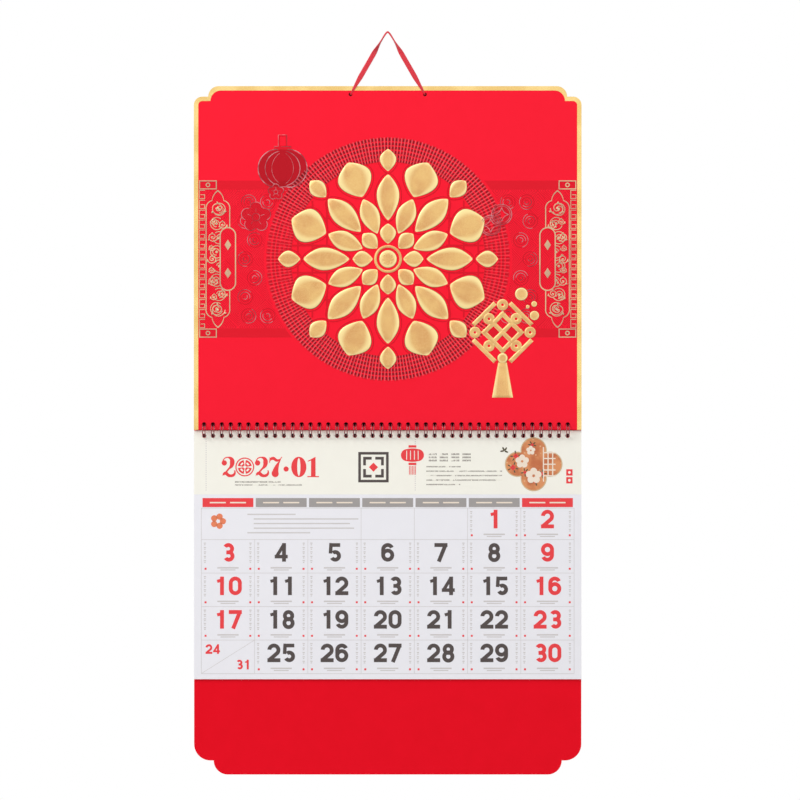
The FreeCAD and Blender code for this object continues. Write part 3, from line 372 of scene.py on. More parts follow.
def lettered_material(name, ink, ground, pitch):
    """Ink in short uneven strokes along X, like small print seen from a step away."""
    material, nodes, shader, where = new_material(name, ink, 0.75)
    parts = nodes.add("ShaderNodeSeparateXYZ", Vector=where)
    patch = nodes.noise(where, 700.0, 1.0)
    word = nodes.noise(where, 160.0, 0.0)
    strokes = stripe(nodes, parts.outputs["X"], pitch, 0.62)
    strokes = nodes.times(strokes, nodes.ramp(patch, 0.3, 0.45))
    strokes = nodes.times(strokes, nodes.ramp(word, 0.3, 0.35))
    nodes.surface(shader, nodes.mix(strokes, ground, ink), nodes.bump(patch, 0.04, 0.02 * MM))
    return material


def paper_material(name, colour, shade, fibre_bump=0.12):
    material, nodes, shader, where = new_material(name, colour, 0.75)
    fibre = group_node(nodes, "fibre", where, Scale=1600.0)
    cloud = nodes.times(fibre["Cloud"], 0.6)
    rough = nodes.plus(0.66, nodes.times(fibre["Fibre"], 0.15))
    nodes.surface(shader, nodes.mix(cloud, colour, shade), nodes.bump(fibre["Fibre"], fibre_bump, 0.04 * MM),
                  rough)
    return material


def ribbon_material():
    """Satin ribbon: bright along its length, with a fine weave across."""
    material, nodes, shader, where = new_material("satin ribbon", "d8182c", 0.36)
    along = nodes.add("ShaderNodeAttribute", {"attribute_name": "along"})
    across = nodes.add("ShaderNodeAttribute", {"attribute_name": "across"})
    ribs = stripe(nodes, along.outputs["Fac"], 0.55 * MM, 0.5)
    cords = stripe(nodes, across.outputs["Fac"], 0.5 * MM, 0.5)
    weave = nodes.plus(nodes.times(ribs, 0.6), nodes.times(cords, 0.4))
    rough = nodes.plus(0.3, nodes.times(weave, 0.15))
    nodes.surface(shader, nodes.mix(weave, "b80f24", "e62438"), nodes.bump(weave, 0.4, 0.06 * MM), rough)
    shader.inputs["Sheen Weight"].default_value = 0.3
    shader.inputs["Anisotropic"].default_value = 0.5
    return material


def wire_material():
    """Dark red plastic coat on steel wire, a little paler in random patches."""
    material, nodes, shader, where = new_material("coated wire", "8e2434", 0.3)
    pale_patches = nodes.noise(where, 240.0, 3.0)
    tone = nodes.mix(nodes.ramp(pale_patches, 0.5, 0.75), "7a1c2a", "b04a52")
    rough = nodes.plus(0.22, nodes.times(pale_patches, 0.2))
    nodes.surface(shader, tone, nodes.bump(pale_patches, 0.1, 0.03 * MM), rough)
    shader.inputs["Coat Weight"].default_value = 0.5
    return material


def picture_material():
    """Orange brown picture ground with cloudy washes."""
    material, nodes, shader, where = new_material("picture ground", "b5623c", 0.6)
    wash = nodes.noise(where, 70.0, 4.0)
    spots = nodes.add("ShaderNodeTexVoronoi", Vector=where, Scale=210.0)
    tone = nodes.mix(nodes.ramp(wash, 0.38, 0.62), "bf6a3e", "d98f5c")
    tone = nodes.mix(nodes.ramp(spots.outputs["Distance"], 0.22, 0.1), tone, "e2b286")
    nodes.surface(shader, tone, nodes.bump(wash, 0.05, 0.02 * MM))
    return material


materials = {
    "board": red_board_material(),
    "card": red_card_material(),
    # the fourth colour of each gold is its pale grain and its painted edge highlight
    "relief": gold_material("gold relief", "d19758", "dfb06a", "f2da98", 0.42, 0.35, 2600.0),
    "foil": gold_material("gold foil", "e6bd6c", "f3d084", "f9e6a4", 0.32, 0.55, 3200.0),
    "line": gold_material("gold line", "b98f74", "d2b088", "e6d3ae", 0.4, 0.4, 3000.0),
    "pressed": painted_highlight_outline_material(),
    "ribbon": ribbon_material(),
    "wire": wire_material(),
    "page": paper_material("page paper", "eeedf2", "e8e7ec"),
    "cream": paper_material("cream band", "f7f5ea", "f0ede2"),
    "red ink": paper_material("red ink", "ec3d42", "e23339", 0.05),
    "dark ink": paper_material("dark ink", "463d3b", "524846", 0.05),
    "grey ink": paper_material("grey ink", "a39e9b", "969190", 0.05),
    "flower ink": paper_material("flower ink", "e8705c", "e4a24c", 0.05),
    "rim ink": paper_material("rim ink", "d6bd94", "cbb088", 0.05),
    "leaf ink": paper_material("leaf ink", "4b4a35", "5d4a38", 0.05),
    "pale ink": paper_material("pale ink", "f3e6d6", "e9d3bb", 0.05),
    "line ink": paper_material("line ink", "cfcac9", "c4bfbe", 0.05),
    "picture": picture_material(),
    "small print": lettered_material("small print", "5f5350", "f0ede1", 1.15 * MM)}


def dress(node, name):
    """Give a CAD node its material."""
    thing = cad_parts[node]
    for place in thing.material_slots:
        place.material = materials[name]
    if not thing.material_slots:
        thing.data.materials.append(materials[name])


for node, name in (("header_board", "board"), ("header_border", "foil"), ("ornament_left", "line"),
                   ("ornament_right", "line"), ("binding_wire", "wire"), ("backing_card", "card"),
                   ("head_band", "cream"), ("month_title", "red ink"), ("month_emblem", "dark ink"),
                   ("red_marks", "red ink"), ("picture_field", "picture"), ("picture_blossoms", "pale ink"),
                   ("text_lines", "small print"), ("weekday_bars_red", "red ink"),
                   ("weekday_bars_grey", "grey ink"), ("grid_lines", "line ink"),
                   ("date_numbers_red", "red ink"), ("date_numbers_dark", "dark ink")):
    dress(node, name)


# Mesh helpers


def new_object(name, data):
    thing = bpy.data.objects.new(name, data)
    bpy.context.scene.collection.objects.link(thing)
    return thing


class Sheet:
    """Collects vertices and faces of one piece, and for each vertex how near an edge it is."""

    def __init__(self):
        self.points = []
        self.faces = []
        self.rims = []

    def add_grid(self, rows, rims=None, closed=False):
        base = len(self.points)
        wide = len(rows[0])
        for row, rim in zip(rows, rims or [[0.0] * wide] * len(rows)):
            self.points += row
            self.rims += rim
        for i in range(len(rows) - 1):
            for j in range(wide if closed else wide - 1):
                k = (j + 1) % wide
                self.faces.append((base + i * wide + j, base + i * wide + k,
                                   base + (i + 1) * wide + k, base + (i + 1) * wide + j))

    def add_fan(self, centre, ring, rim_centre=0.0, rim_ring=0.0):
        base = len(self.points)
        self.points.append(centre)
        self.rims.append(rim_centre)
        self.points += ring
        self.rims += [rim_ring] * len(ring)
        count = len(ring)
        for i in range(count):
            self.faces.append((base, base + 1 + i, base + 1 + (i + 1) % count))

    def build(self, name, material, body, smooth=True):
        mesh = bpy.data.meshes.new(name)
        mesh.from_pydata(self.points, [], self.faces)
        rim = mesh.attributes.new("rim", "FLOAT", "POINT")
        rim.data.foreach_set("value", self.rims)
        work = bmesh.new()
        work.from_mesh(mesh)
        bmesh.ops.recalc_face_normals(work, faces=work.faces)
        work.to_mesh(mesh)
        work.free()
        for face in mesh.polygons:
            face.use_smooth = smooth
        mesh.materials.append(materials[material])
        thing = new_object(name, mesh)
        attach(thing, body)
        return thing


def dome(share, edge=0.22):
    """Height of a crowned form at a share of the way out from its middle, with a steep rounded edge."""
    if share >= 1:
        return 0.0
    fall = (share - (1 - edge)) / edge
    crown = 1 - 0.25 * share ** 2
    return crown if fall <= 0 else crown * math.sqrt(max(0.0, 1 - fall ** 2))


def polar_spot(x, z, radius, turn):
    return (x + radius * math.cos(turn), z + radius * math.sin(turn))


def ring_line(x, z, radius, count):
    return [polar_spot(x, z, radius, 2 * math.pi * k / count) for k in range(count)]


def ray_and_side(turn):
    """Unit direction at an angle, and the direction to its left."""
    return (math.cos(turn), math.sin(turn)), (-math.sin(turn), math.cos(turn))


def left_of(a, b):
    """Unit direction to the left of the way from one point to another."""
    long = math.hypot(b[0] - a[0], b[1] - a[1]) or 1.0
    return -(b[1] - a[1]) / long, (b[0] - a[0]) / long


def petal_share(u, fullness):
    """Width of a petal at a share of its length, against its widest place."""
    bend = u / fullness if u < fullness else (1 - u) / (1 - fullness)
    return math.sin(min(bend, 1.0) * math.pi / 2) ** 0.8


def add_petal(sheet, x, z, inner, outer, half_width, turn, fullness=0.55, veins=True, steps=30, ribs=20):
    """Crowned petal on a ray from x, z, with a middle vein and side veins."""
    rows, rims = [], []
    direction, side = ray_and_side(turn)
    for i in range(steps + 1):
        u = 0.5 - 0.5 * math.cos(math.pi * i / steps)
        wide = half_width * petal_share(u, fullness)
        row, rim = [], []
        for j in range(ribs + 1):
            t = -math.cos(math.pi * j / ribs)
            out = inner + (outer - inner) * u
            across = wide * t
            near = max(abs(t), abs(2 * u - 1) ** 3)
            high = dome(near) * min(1.0, wide / half_width * 1.6)
            if veins and near < 0.8:
                spine = math.exp(-(across / (half_width * 0.07)) ** 2)
                wave = math.cos((u * 9 - abs(t) * 1.6) * 2 * math.pi)
                high -= 0.16 * spine + 0.07 * max(0.0, wave) * (1 - spine)
            row.append((x + direction[0] * out + side[0] * across, board_y - relief * high,
                        z + direction[1] * out + side[1] * across))
            rim.append(near)
        rows.append(row)
        rims.append(rim)
    sheet.add_grid(rows, rims)


def add_disc(sheet, x, z, radius, high=1.0, rings=12, segments=40):
    """Crowned round boss."""
    rows, rims = [], []
    for i in range(1, rings + 1):
        share = math.sin(math.pi / 2 * i / rings)
        depth = board_y - relief * dome(share) * high
        rows.append([(px, depth, pz) for px, pz in ring_line(x, z, radius * share, segments)])
        rims.append([share] * segments)
    sheet.add_grid(rows, rims, closed=True)
    sheet.add_fan((x, board_y - relief * high, z), rows[0], 0.0, rims[0][0])


def add_strand(sheet, line, half_width, level, ribs=8, ends=True):
    """Crowned band along a line of x, z points; level gives each point's height."""
    rows, rims = [], []
    count = len(line)
    for i in range(count):
        side = left_of(line[max(i - 1, 0)], line[min(i + 1, count - 1)])
        tip = min(1.0, (i + 0.02) * 0.6, (count - 1 - i + 0.02) * 0.6) if ends else 1.0
        row, rim = [], []
        for j in range(ribs + 1):
            t = -math.cos(math.pi * j / ribs)
            high = dome(abs(t), 0.5) * level[i] * tip
            row.append((line[i][0] + side[0] * half_width * t, board_y - relief * high,
                        line[i][1] + side[1] * half_width * t))
            rim.append(abs(t) * 0.95)
        rows.append(row)
        rims.append(rim)
    sheet.add_grid(rows, rims)


# Medallion


def lip_line(x, z, inner, outer, half_width, turn, gap, fullness=0.55, count=64):
    """Closed line a gap outside a petal."""
    line = []
    direction, side = ray_and_side(turn)
    for i in range(count):
        a = 2 * math.pi * i / count
        u = 0.5 - 0.5 * math.cos(a)
        wide = half_width * petal_share(u, fullness) + gap
        t = 1 if a < math.pi else -1
        out = inner - gap + (outer - inner + 2 * gap) * u
        across = t * wide * min(1.0, math.sin(a if a < math.pi else 2 * math.pi - a) * 2.2)
        line.append((x + direction[0] * out + side[0] * across, z + direction[1] * out + side[1] * across))
    return line


def add_lip(sheet, line, radius, ribs=6):
    """Low rounded bead on the board along a closed line."""
    rows = []
    count = len(line)
    for i in range(count):
        side = left_of(line[i - 1], line[(i + 1) % count])
        row = []
        for j in range(ribs + 1):
            turn = math.pi * j / ribs
            across = radius * math.cos(turn)
            row.append((line[i][0] + side[0] * across, board_y - radius * 0.7 * math.sin(turn),
                        line[i][1] + side[1] * across))
        rows.append(row)
    rows.append(rows[0])
    sheet.add_grid(rows)


petal_tiers = ((14.6, 33.8, 7.9, 0.0), (26.3, 61.6, 9.3, 0.5), (36.9, 80.8, 11.1, 0.0),
               (64.1, 99.5, 16.8, 0.5), (83.8, 105.0, 8.1, 0.0))
lip_gap = 1.7 * MM
outer_tiers_from = 36


def make_medallion():
    """Gold flower of veined petals with a beaded heart, and a low red bead about each outer petal."""
    gold = Sheet()
    lips = Sheet()
    step = 2 * math.pi / petal_count
    for inner, outer, half_width, offset in petal_tiers:
        for i in range(petal_count):
            turn = math.pi / 2 + step * (i + offset)
            sizes = (inner * MM, outer * MM, half_width * MM, turn)
            add_petal(gold, ring_x, ring_z, *sizes)
            if inner > outer_tiers_from:
                add_lip(lips, lip_line(ring_x, ring_z, *sizes, lip_gap), 0.55 * MM)
    heart = medallion_heart
    add_disc(gold, ring_x, ring_z, heart, 0.9)
    for i in range(petal_count):
        px, pz = polar_spot(ring_x, ring_z, heart * 0.55, step * i)
        add_disc(gold, px, pz, heart * 0.17, 1.0, rings=5, segments=16)
    spans = [-1 + 2 * j / 8 for j in range(9)]
    rows = []
    for t in spans:
        reach = heart * (1.4 + 0.15 * t)
        depth = board_y - relief * dome(abs(t), 0.6)
        rows.append([(px, depth, pz) for px, pz in ring_line(ring_x, ring_z, reach, 64)])
    gold.add_grid(rows, [[abs(t) * 0.9] * 64 for t in spans], closed=True)
    piece = gold.build("medallion_relief", "relief", "header")
    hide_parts("medallion")
    lips.build("medallion_lips", "board", "header")


make_medallion()


# Pressed outlines of the lantern, blossoms and coins, and fine scrolls in the side panels

curl_radius = 7.4 * MM
curl_pitch = 18.1 * MM
capsule_edge = 144.65 * MM
capsule_half = 38.5 * MM


def lens_line(x, z, bow, tip, side, count=22):
    """Arc from the foot to the head of a lens, bowed out to one side."""
    radius = (bow ** 2 + tip ** 2) / (2 * bow)
    middle = bow - radius
    reach = math.atan2(tip, -middle)
    line = []
    for k in range(count + 1):
        turn = -reach + 2 * reach * k / count
        line.append((x + side * (middle + radius * math.cos(turn)), z + radius * math.sin(turn)))
    return line


def curl_places():
    """Places of the cloud curls on both bands, as the solids have them."""
    places = []
    for row in range(-3, 4):
        up = row * curl_pitch
        edge = capsule_edge if abs(up) < capsule_half else ornament_edge
        for place in range(4):
            across = edge - curl_radius - 1.2 * MM - curl_pitch * (place + 0.5 * (row % 2))
            if math.hypot(across, up) >= ring_outer + 10.0 * MM:
                places += [(side, across, up) for side in (-1, 1)]
    return places


def add_hoop(sheet, x, z, radius, half_width, level, count=32):
    line = ring_line(x, z, radius, count)
    add_strand(sheet, line + line[:1], half_width, [level] * (count + 1), ends=False)


def add_coin(sheet, x, z, radius):
    """Old coin: two hoops and a square hole with bowed sides."""
    inner = radius * 0.84
    add_hoop(sheet, x, z, radius, 0.4 * MM, raised_level)
    add_hoop(sheet, x, z, inner, 0.3 * MM, raised_level)
    for i in range(4):
        lean = math.pi / 4 + math.pi / 2 * i
        cx, cz = polar_spot(x, z, inner * math.sqrt(2), lean)
        arc = [polar_spot(cx, cz, inner, lean + math.pi * (0.75 + 0.5 * k / 12)) for k in range(13)]
        add_strand(sheet, arc, 0.35 * MM, [raised_level] * 13)


def add_lantern(lines):
    """Ribbed lantern with its cap, foot and hanger."""
    x, z = ring_x + lantern_across, ring_z + lantern_up
    for i, bow in enumerate(lantern_bows):
        tip = lantern_tall / 2 - 0.8 * i * MM
        for side in (-1, 1):
            line = lens_line(x, z, bow * MM, tip, side)
            add_strand(lines, line, 0.5 * MM, [outline_level] * len(line))
    cap = lantern_tall / 2 / MM
    for low, tall, half in ((cap, 3.4, 8.0), (-cap - 3.4, 3.4, 8.0), (cap + 3.4, 11.1, 4.0)):
        left, right = x - half * MM, x + half * MM
        foot, head = z + low * MM, z + (low + tall) * MM
        frame_line = [(left, foot), (left, head), (right, head), (right, foot), (left, foot)]
        add_strand(lines, frame_line, 0.4 * MM, [outline_level] * 5)


def add_blossom(lines, x, z, size):
    """Five petal rims, stamens and a hoop at the heart."""
    for i in range(5):
        turn = math.pi / 2 + 2 * math.pi / 5 * i
        cx, cz = polar_spot(x, z, size * 0.58, turn)
        arc = [polar_spot(cx, cz, size * 0.38, turn - 1.9 + 3.8 * k / 14) for k in range(15)]
        add_strand(lines, arc, 0.35 * MM, [raised_level] * 15)
        stamen = [polar_spot(x, z, size * reach, turn) for reach in (0.32, 0.44, 0.56)]
        add_strand(lines, stamen, 0.25 * MM, [raised_level] * 3, ends=False)
    add_hoop(lines, x, z, size * 0.24, 0.3 * MM, heart_level)


def make_outlines():
    lines = Sheet()
    add_lantern(lines)
    for across, up, size in ((-126.0, 40.0, 15.0), (-107.0, 64.0, 8.0)):
        add_blossom(lines, ring_x + across * MM, ring_z + up * MM, size * MM)
    for across, up, size in ((98.0, 32.0, 9.6), (108.5, 42.5, 9.6)):
        add_coin(lines, ring_x + across * MM, ring_z + up * MM, size * MM)
    for side, across, up in curl_places():
        for reach in (7.0, 4.55, 2.1):
            turn = random.uniform(0.0, 2 * math.pi)
            arc = [polar_spot(side * across, ring_z + up, reach * MM, turn + 3.6 * k / 16) for k in range(17)]
            add_strand(lines, arc, 0.3 * MM, [outline_level] * 17)
    # the pressed outlines carry a painted highlight colour
    piece = lines.build("pressed_outlines", "pressed", "header")


def add_scroll(sheet, x, z, size, start, side):
    """Spiral vine that winds in to a bud, with three small leaves on its outer side."""
    line = []
    count = 26
    for k in range(count + 1):
        share = k / count
        radius = size * (1 - 0.78 * share)
        line.append(polar_spot(x, z, radius, start + side * 3.1 * math.pi * share))
    add_strand(sheet, line, 0.42 * MM, [outline_level] * (count + 1))
    add_disc(sheet, x, z, size * 0.16, outline_level, rings=4, segments=12)
    for share in (0.06, 0.28, 0.5):
        turn = start + side * 3.1 * math.pi * share
        px, pz = polar_spot(x, z, size * (1 - 0.78 * share), turn)
        add_petal(sheet, px, pz, 0.2 * MM, size * 0.42, 0.8 * MM, turn - side * 0.9,
                  veins=False, steps=8, ribs=4)


def make_panels():
    """Fine scrolls that fill the gold side panels."""
    scrolls = Sheet()
    for side in (-1, 1):
        middle = side * (ornament_edge + 11.75 * MM)
        for up, shift, size in ((48.5, 0.0, 7.6), (36.0, 3.8, 3.6), (33.0, -4.6, 4.6), (21.0, 5.0, 5.2),
                                (10.5, 6.0, 3.4), (0.0, 5.4, 5.0), (-10.5, 6.0, 3.4), (-21.0, 5.0, 5.2),
                                (-33.0, -4.6, 4.6), (-36.0, 3.8, 3.6), (-48.5, 0.0, 7.6)):
            lean = 1 if up % 2 else -1
            add_scroll(scrolls, middle + side * shift * MM, ring_z + up * MM, size * MM * 0.92,
                       math.pi / 2 * (1 + lean * side), lean * side)
    piece = scrolls.build("panel_scrolls", "line", "header")


make_outlines()
make_panels()


# Endless knot, tassel and discs

knot_x = 109.6 * MM
knot_z = ring_z - 70.0 * MM
loose_coins = ((0.31, 0.63, 0.107), (0.52, 0.466, 0.048), (0.524, 0.276, 0.079), (0.414, 0.422, 0.031))


def make_knot():
    """Woven gold knot with seven loops, a combed tassel and four discs."""
    gold = Sheet()
    half = knot_width * 0.36
    band = knot_width * 0.036
    steps = 40
    for i in range(-2, 3):
        shift = i * half * 0.42
        for lean in (1, -1):
            line, level = [], []
            for k in range(steps + 1):
                s = k / steps
                run = -half / 2 + half * s
                line.append((knot_x + run + shift, knot_z + lean * run - lean * shift))
                over = math.cos((s * 5 + i) * math.pi + (0 if lean > 0 else math.pi))
                level.append(0.72 + 0.26 * over)
            add_strand(gold, line, band, level)
    loop = half * 0.26
    rings = ((0, half + loop), (-half - loop, 0), (half + loop, 0), (-half * 0.62, half * 0.62),
             (half * 0.62, half * 0.62), (-half * 0.62, -half * 0.62), (half * 0.62, -half * 0.62))
    for across, up in rings:
        add_hoop(gold, knot_x + across, knot_z + up, loop - band, band, 0.8, 40)
    cap = knot_z - half * 0.98
    add_disc(gold, knot_x, cap - band * 2, band * 2.4, 1.0)
    top = cap - band * 4
    foot = cap - knot_width * 0.72
    rows, rims = [], []
    for i in range(25):
        share = i / 24
        wide = band * (2 + 2.8 * share)
        row, rim = [], []
        for j in range(49):
            t = -1 + 2 * j / 48
            thread = 0.12 * math.cos(t * 9 * math.pi)
            knot_row = 0.15 if 0.08 < share < 0.14 else 0.0
            high = (dome(abs(t), 0.4) * (0.8 + thread + knot_row)) * (1 if share < 0.97 else 0.2)
            row.append((knot_x + wide * t, board_y - relief * high, top + (foot - top) * share))
            rim.append(abs(t) * 0.9)
        rows.append(row)
        rims.append(rim)
    gold.add_grid(rows, rims)
    for across, up, share in loose_coins:
        size = share * knot_width
        x = knot_x + across * knot_width
        z = knot_z + up * knot_width
        add_disc(gold, x, z, size, 0.75)
        if size > 4 * MM:
            add_hoop(gold, x, z, size * 0.72, 0.35 * MM, 0.78, 40)
    piece = gold.build("knot_relief", "relief", "header")
    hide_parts("knot_and_coins")


make_knot()


# Hanging ribbon and its knots

hole_x = 35.5 * MM
hole_z = -58.4 * MM
hook_x = 1.25 * MM
crown_z = 1.0 * MM
knot_face = 3.6 * MM
ribbon_route = ((hole_x, knot_face, hole_z), (hole_x, 0, hole_z), (7.6 * MM, 0, -9.8 * MM),
                (hook_x, 0, crown_z), (-hook_x, 0, crown_z), (-7.6 * MM, 0, -9.8 * MM), (-hole_x, 0, hole_z),
                (-hole_x, knot_face, hole_z))


def route_points(route):
    """Points along the smooth line of a route."""
    curve = bpy.data.curves.new("ribbon_line", "CURVE")
    curve.dimensions = "3D"
    curve.resolution_u = 24
    spline = curve.splines.new("NURBS")
    spline.points.add(len(route) - 1)
    for point, place in zip(spline.points, route):
        point.co = (*place, 1)
    spline.order_u = 3
    spline.use_endpoint_u = True
    carrier = bpy.data.objects.new("ribbon_line", curve)
    mesh = bpy.data.meshes.new_from_object(carrier)
    points = [vertex.co.copy() for vertex in mesh.vertices]
    bpy.data.objects.remove(carrier)
    bpy.data.curves.remove(curve)
    bpy.data.meshes.remove(mesh)
    return points


def make_ribbon():
    """Flat ribbon, narrow at the holes, turned and bunched where it lies over the hook."""
    points = route_points(ribbon_route)
    lengths = [0.0]
    for a, b in zip(points, points[1:]):
        lengths.append(lengths[-1] + (b - a).length)
    total = lengths[-1]
    rows, along, across = [], [], []
    sides = 16
    for i, place in enumerate(points):
        before = points[max(i - 1, 0)]
        after = points[min(i + 1, len(points) - 1)]
        heading = (after - before).normalized()
        share = lengths[i] / total
        from_end = min(share, 1 - share) * 2
        twist = math.sin(min(max((from_end - 0.62) / 0.34, 0.0), 1.0) * math.pi / 2)
        depth = Vector((0, 1, 0))
        flat = heading.cross(depth)
        if flat.length < 0.2:
            flat = Vector((0, 0, 1))
        flat.normalize()
        level = (depth - heading * depth.dot(heading))
        level = level.normalized() if level.length > 0.2 else Vector((1, 0, 0))
        wide = (flat * math.cos(twist * math.pi / 2) + level * math.sin(twist * math.pi / 2)).normalized()
        thick = heading.cross(wide).normalized()
        squeeze = 0.42 + 0.58 * min(1.0, max(0.0, (from_end - 0.06) / 0.22))
        bunch = min(1.0, max(0.0, (from_end - 0.7) / 0.24))
        half = ribbon_width / 2 * squeeze * (1 - 0.45 * bunch)
        bulk = ribbon_thickness * (1 + 2.4 * (1 - squeeze)) + 1.25 * MM * bunch
        row = []
        for j in range(sides):
            turn = 2 * math.pi * j / sides
            c, s = math.cos(turn), math.sin(turn)
            t = math.copysign(abs(c) ** 0.5, c)
            u = math.copysign(abs(s) ** 0.8, s)
            cup = 0.12 * (1 - t * t) * ribbon_thickness
            row.append(place + wide * (half * t) + thick * (bulk / 2 * u + cup))
            along.append(lengths[i])
            across.append(half * t)
        rows.append(row)
    sheet = Sheet()
    sheet.add_grid(rows, closed=True)
    for row, place in ((rows[0], points[0]), (rows[-1], points[-1])):
        sheet.add_fan(place, row)
        along += [0.0] * (sides + 1)
        across += [0.0] * (sides + 1)
    piece = sheet.build("hanging_ribbon", "ribbon", "header")
    for name, values in (("along", along), ("across", across)):
        layer = piece.data.attributes.new(name, "FLOAT", "POINT")
        layer.data.foreach_set("value", values)
    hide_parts("hang_cord")
    return piece, points, total


def make_ribbon_knot(name, node):
    """Overhand knot: wraps of ribbon about a short barrel."""
    low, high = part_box(node)
    centre = (low + high) / 2
    reach = (high.x - low.x) / 2
    deep = (high.y - low.y) / 2
    rows = []
    segments, rings = 48, 24
    for i in range(rings + 1):
        lean = math.pi * i / rings
        row = []
        for j in range(segments):
            turn = 2 * math.pi * j / segments
            wrap = 0.9 + 0.1 * abs(math.cos(2.5 * lean + turn))
            fold = 1 - 0.05 * abs(math.sin(3 * turn + 2 * lean))
            radius = reach * math.sin(lean) ** 0.6 * wrap * fold
            row.append((centre.x + radius * math.cos(turn), centre.y - deep * 0.98 * math.cos(lean),
                        centre.z + radius * math.sin(turn)))
        rows.append(row)
    sheet = Sheet()
    sheet.add_grid(rows, closed=True)
    piece = sheet.build(name, "ribbon", "header")
    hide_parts(node)
    return piece


ribbon, ribbon_points, ribbon_length = make_ribbon()
knots = [make_ribbon_knot("ribbon_knot_left", "cord_knot_left"),
         make_ribbon_knot("ribbon_knot_right", "cord_knot_right")]


# Month sheets and the small print


def make_sheets():
    """The pad as thirteen sheets, each a hair out of line with the next at the foot."""
    work = bmesh.new()
    thick = (pad_high.y - pad_low.y) / sheet_count
    first = hole_shift - hole_pitch * (hole_count - 1) / 2
    for index in range(sheet_count):
        y = pad_low.y + thick * index
        drift = 0.0 if index == 0 else random.uniform(0.0, 0.35) * MM
        edge = 0.0 if index == 0 else random.uniform(0.0, 0.25) * MM
        corners = [(pad_low.x + edge, page_top), (pad_high.x - edge, page_top),
                   (pad_high.x - edge, pad_low.z + drift), (pad_low.x + edge, pad_low.z + drift)]
        loops = [[work.verts.new((x, y, z)) for x, z in corners]]
        for i in range(hole_count):
            hole = ring_line(first + hole_pitch * i, page_top - hole_drop, hole_radius, 20)
            loops.append([work.verts.new((x, y, z)) for x, z in hole])
        edges = []
        for loop in loops:
            edges += [work.edges.new((a, b)) for a, b in zip(loop, loop[1:] + loop[:1])]
        filled = bmesh.ops.triangle_fill(work, use_beauty=True, use_dissolve=False, edges=edges)
        faces = [part for part in filled["geom"] if isinstance(part, bmesh.types.BMFace)]
        grown = bmesh.ops.extrude_face_region(work, geom=faces)
        moved = [part for part in grown["geom"] if isinstance(part, bmesh.types.BMVert)]
        bmesh.ops.translate(work, verts=moved, vec=(0, thick * 0.92, 0))
    bmesh.ops.recalc_face_normals(work, faces=work.faces)
    mesh = bpy.data.meshes.new("month_sheets")
    work.to_mesh(mesh)
    work.free()
    mesh.materials.append(materials["page"])
    piece = new_object("month_sheets", mesh)
    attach(piece, "month_pad")
    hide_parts("page_pad")


make_sheets()


def add_mark(sheet, x, down, width, height, y, lift=print_lift):
    """Flat mark of ink: left and top edges at x and down."""
    z = page_top - down
    front = y - lift
    rows = [[(x, front, z), (x + width, front, z)], [(x, front, z - height), (x + width, front, z - height)]]
    sheet.add_grid(rows)


def day_slot(day):
    """Column and row of a day; the month's first day stands in the sixth column."""
    slot = day + 4
    return slot % 7, slot // 7


def make_day_notes():
    """Short lines of small print in each day's cell."""
    grey = Sheet()
    red = Sheet()
    for day in range(1, 31):
        across, row = day_slot(day)
        if day == 24:
            continue
        left = grid_left + column * across
        top = grid_drop + (0 if row == 0 else first_row + row_height * (row - 1))
        tall = first_row if row == 0 else row_height
        add_mark(grey, left + column * 0.3, top + tall - 5.6 * MM, column * 0.4, 1.3 * MM, page_y)
        add_mark(grey, left + column * 0.36, top + tall - 3.4 * MM, column * 0.28, 0.9 * MM, page_y)
        for side in (0.045, 0.9):
            start = left + column * side
            for i in range(5):
                add_mark(grey, start, top + (3.0 + 4.2 * i) * MM, 2.2 * MM, 0.9 * MM, page_y)
                add_mark(grey, start + 0.4 * MM, top + (4.6 + 4.2 * i) * MM, 1.4 * MM, 0.9 * MM, page_y)
        for side in (0.06, 0.9):
            add_mark(red, left + column * side, top + tall - 5.0 * MM, 1.9 * MM, 1.9 * MM, page_y)
    grey.build("day_notes_grey", "line ink", "month_pad", smooth=False)
    red.build("day_notes_red", "red ink", "month_pad", smooth=False)


make_day_notes()


def make_band_notes():
    """Dotted fold lines of the head band, dashes on the weekday bars, and the first cell's small print."""
    dots = Sheet()
    pale = Sheet()
    colours = Sheet()
    for x in (-173.8 * MM, 25.9 * MM):
        for i in range(24):
            add_mark(dots, x, (8.0 + 2.1 * i) * MM, 0.7 * MM, 1.0 * MM, band_y)
    for i in range(7):
        for start in (0.16, 0.54):
            add_mark(pale, grid_left + column * (i + start), 68.2 * MM, column * 0.3, 1.3 * MM, page_y,
                     0.13 * MM)
    lines = ((44.0, 46.0), (50.0, 100.0), (50.0, 92.0), (50.0, 96.0), (44.0, 60.0))
    for i, (across, wide) in enumerate(lines):
        add_mark(dots, grid_left + across * MM, grid_drop + (5.4 + 4.4 * i) * MM, wide * MM, 1.1 * MM, page_y)
    for i in range(5):
        turn = 2 * math.pi * i / 5
        px, pz = polar_spot(grid_left + 16.0 * MM, page_top - grid_drop - 12.5 * MM, 4.6 * MM, turn)
        base = [(x, page_y - print_lift, z) for x, z in ring_line(px, pz, 3.0 * MM, 20)]
        colours.add_fan((px, page_y - print_lift, pz), base)
    dots.build("band_notes", "line ink", "month_pad", smooth=False)
    pale.build("weekday_marks", "pale ink", "month_pad", smooth=False)
    colours.build("corner_flower", "flower ink", "month_pad", smooth=False)


make_band_notes()


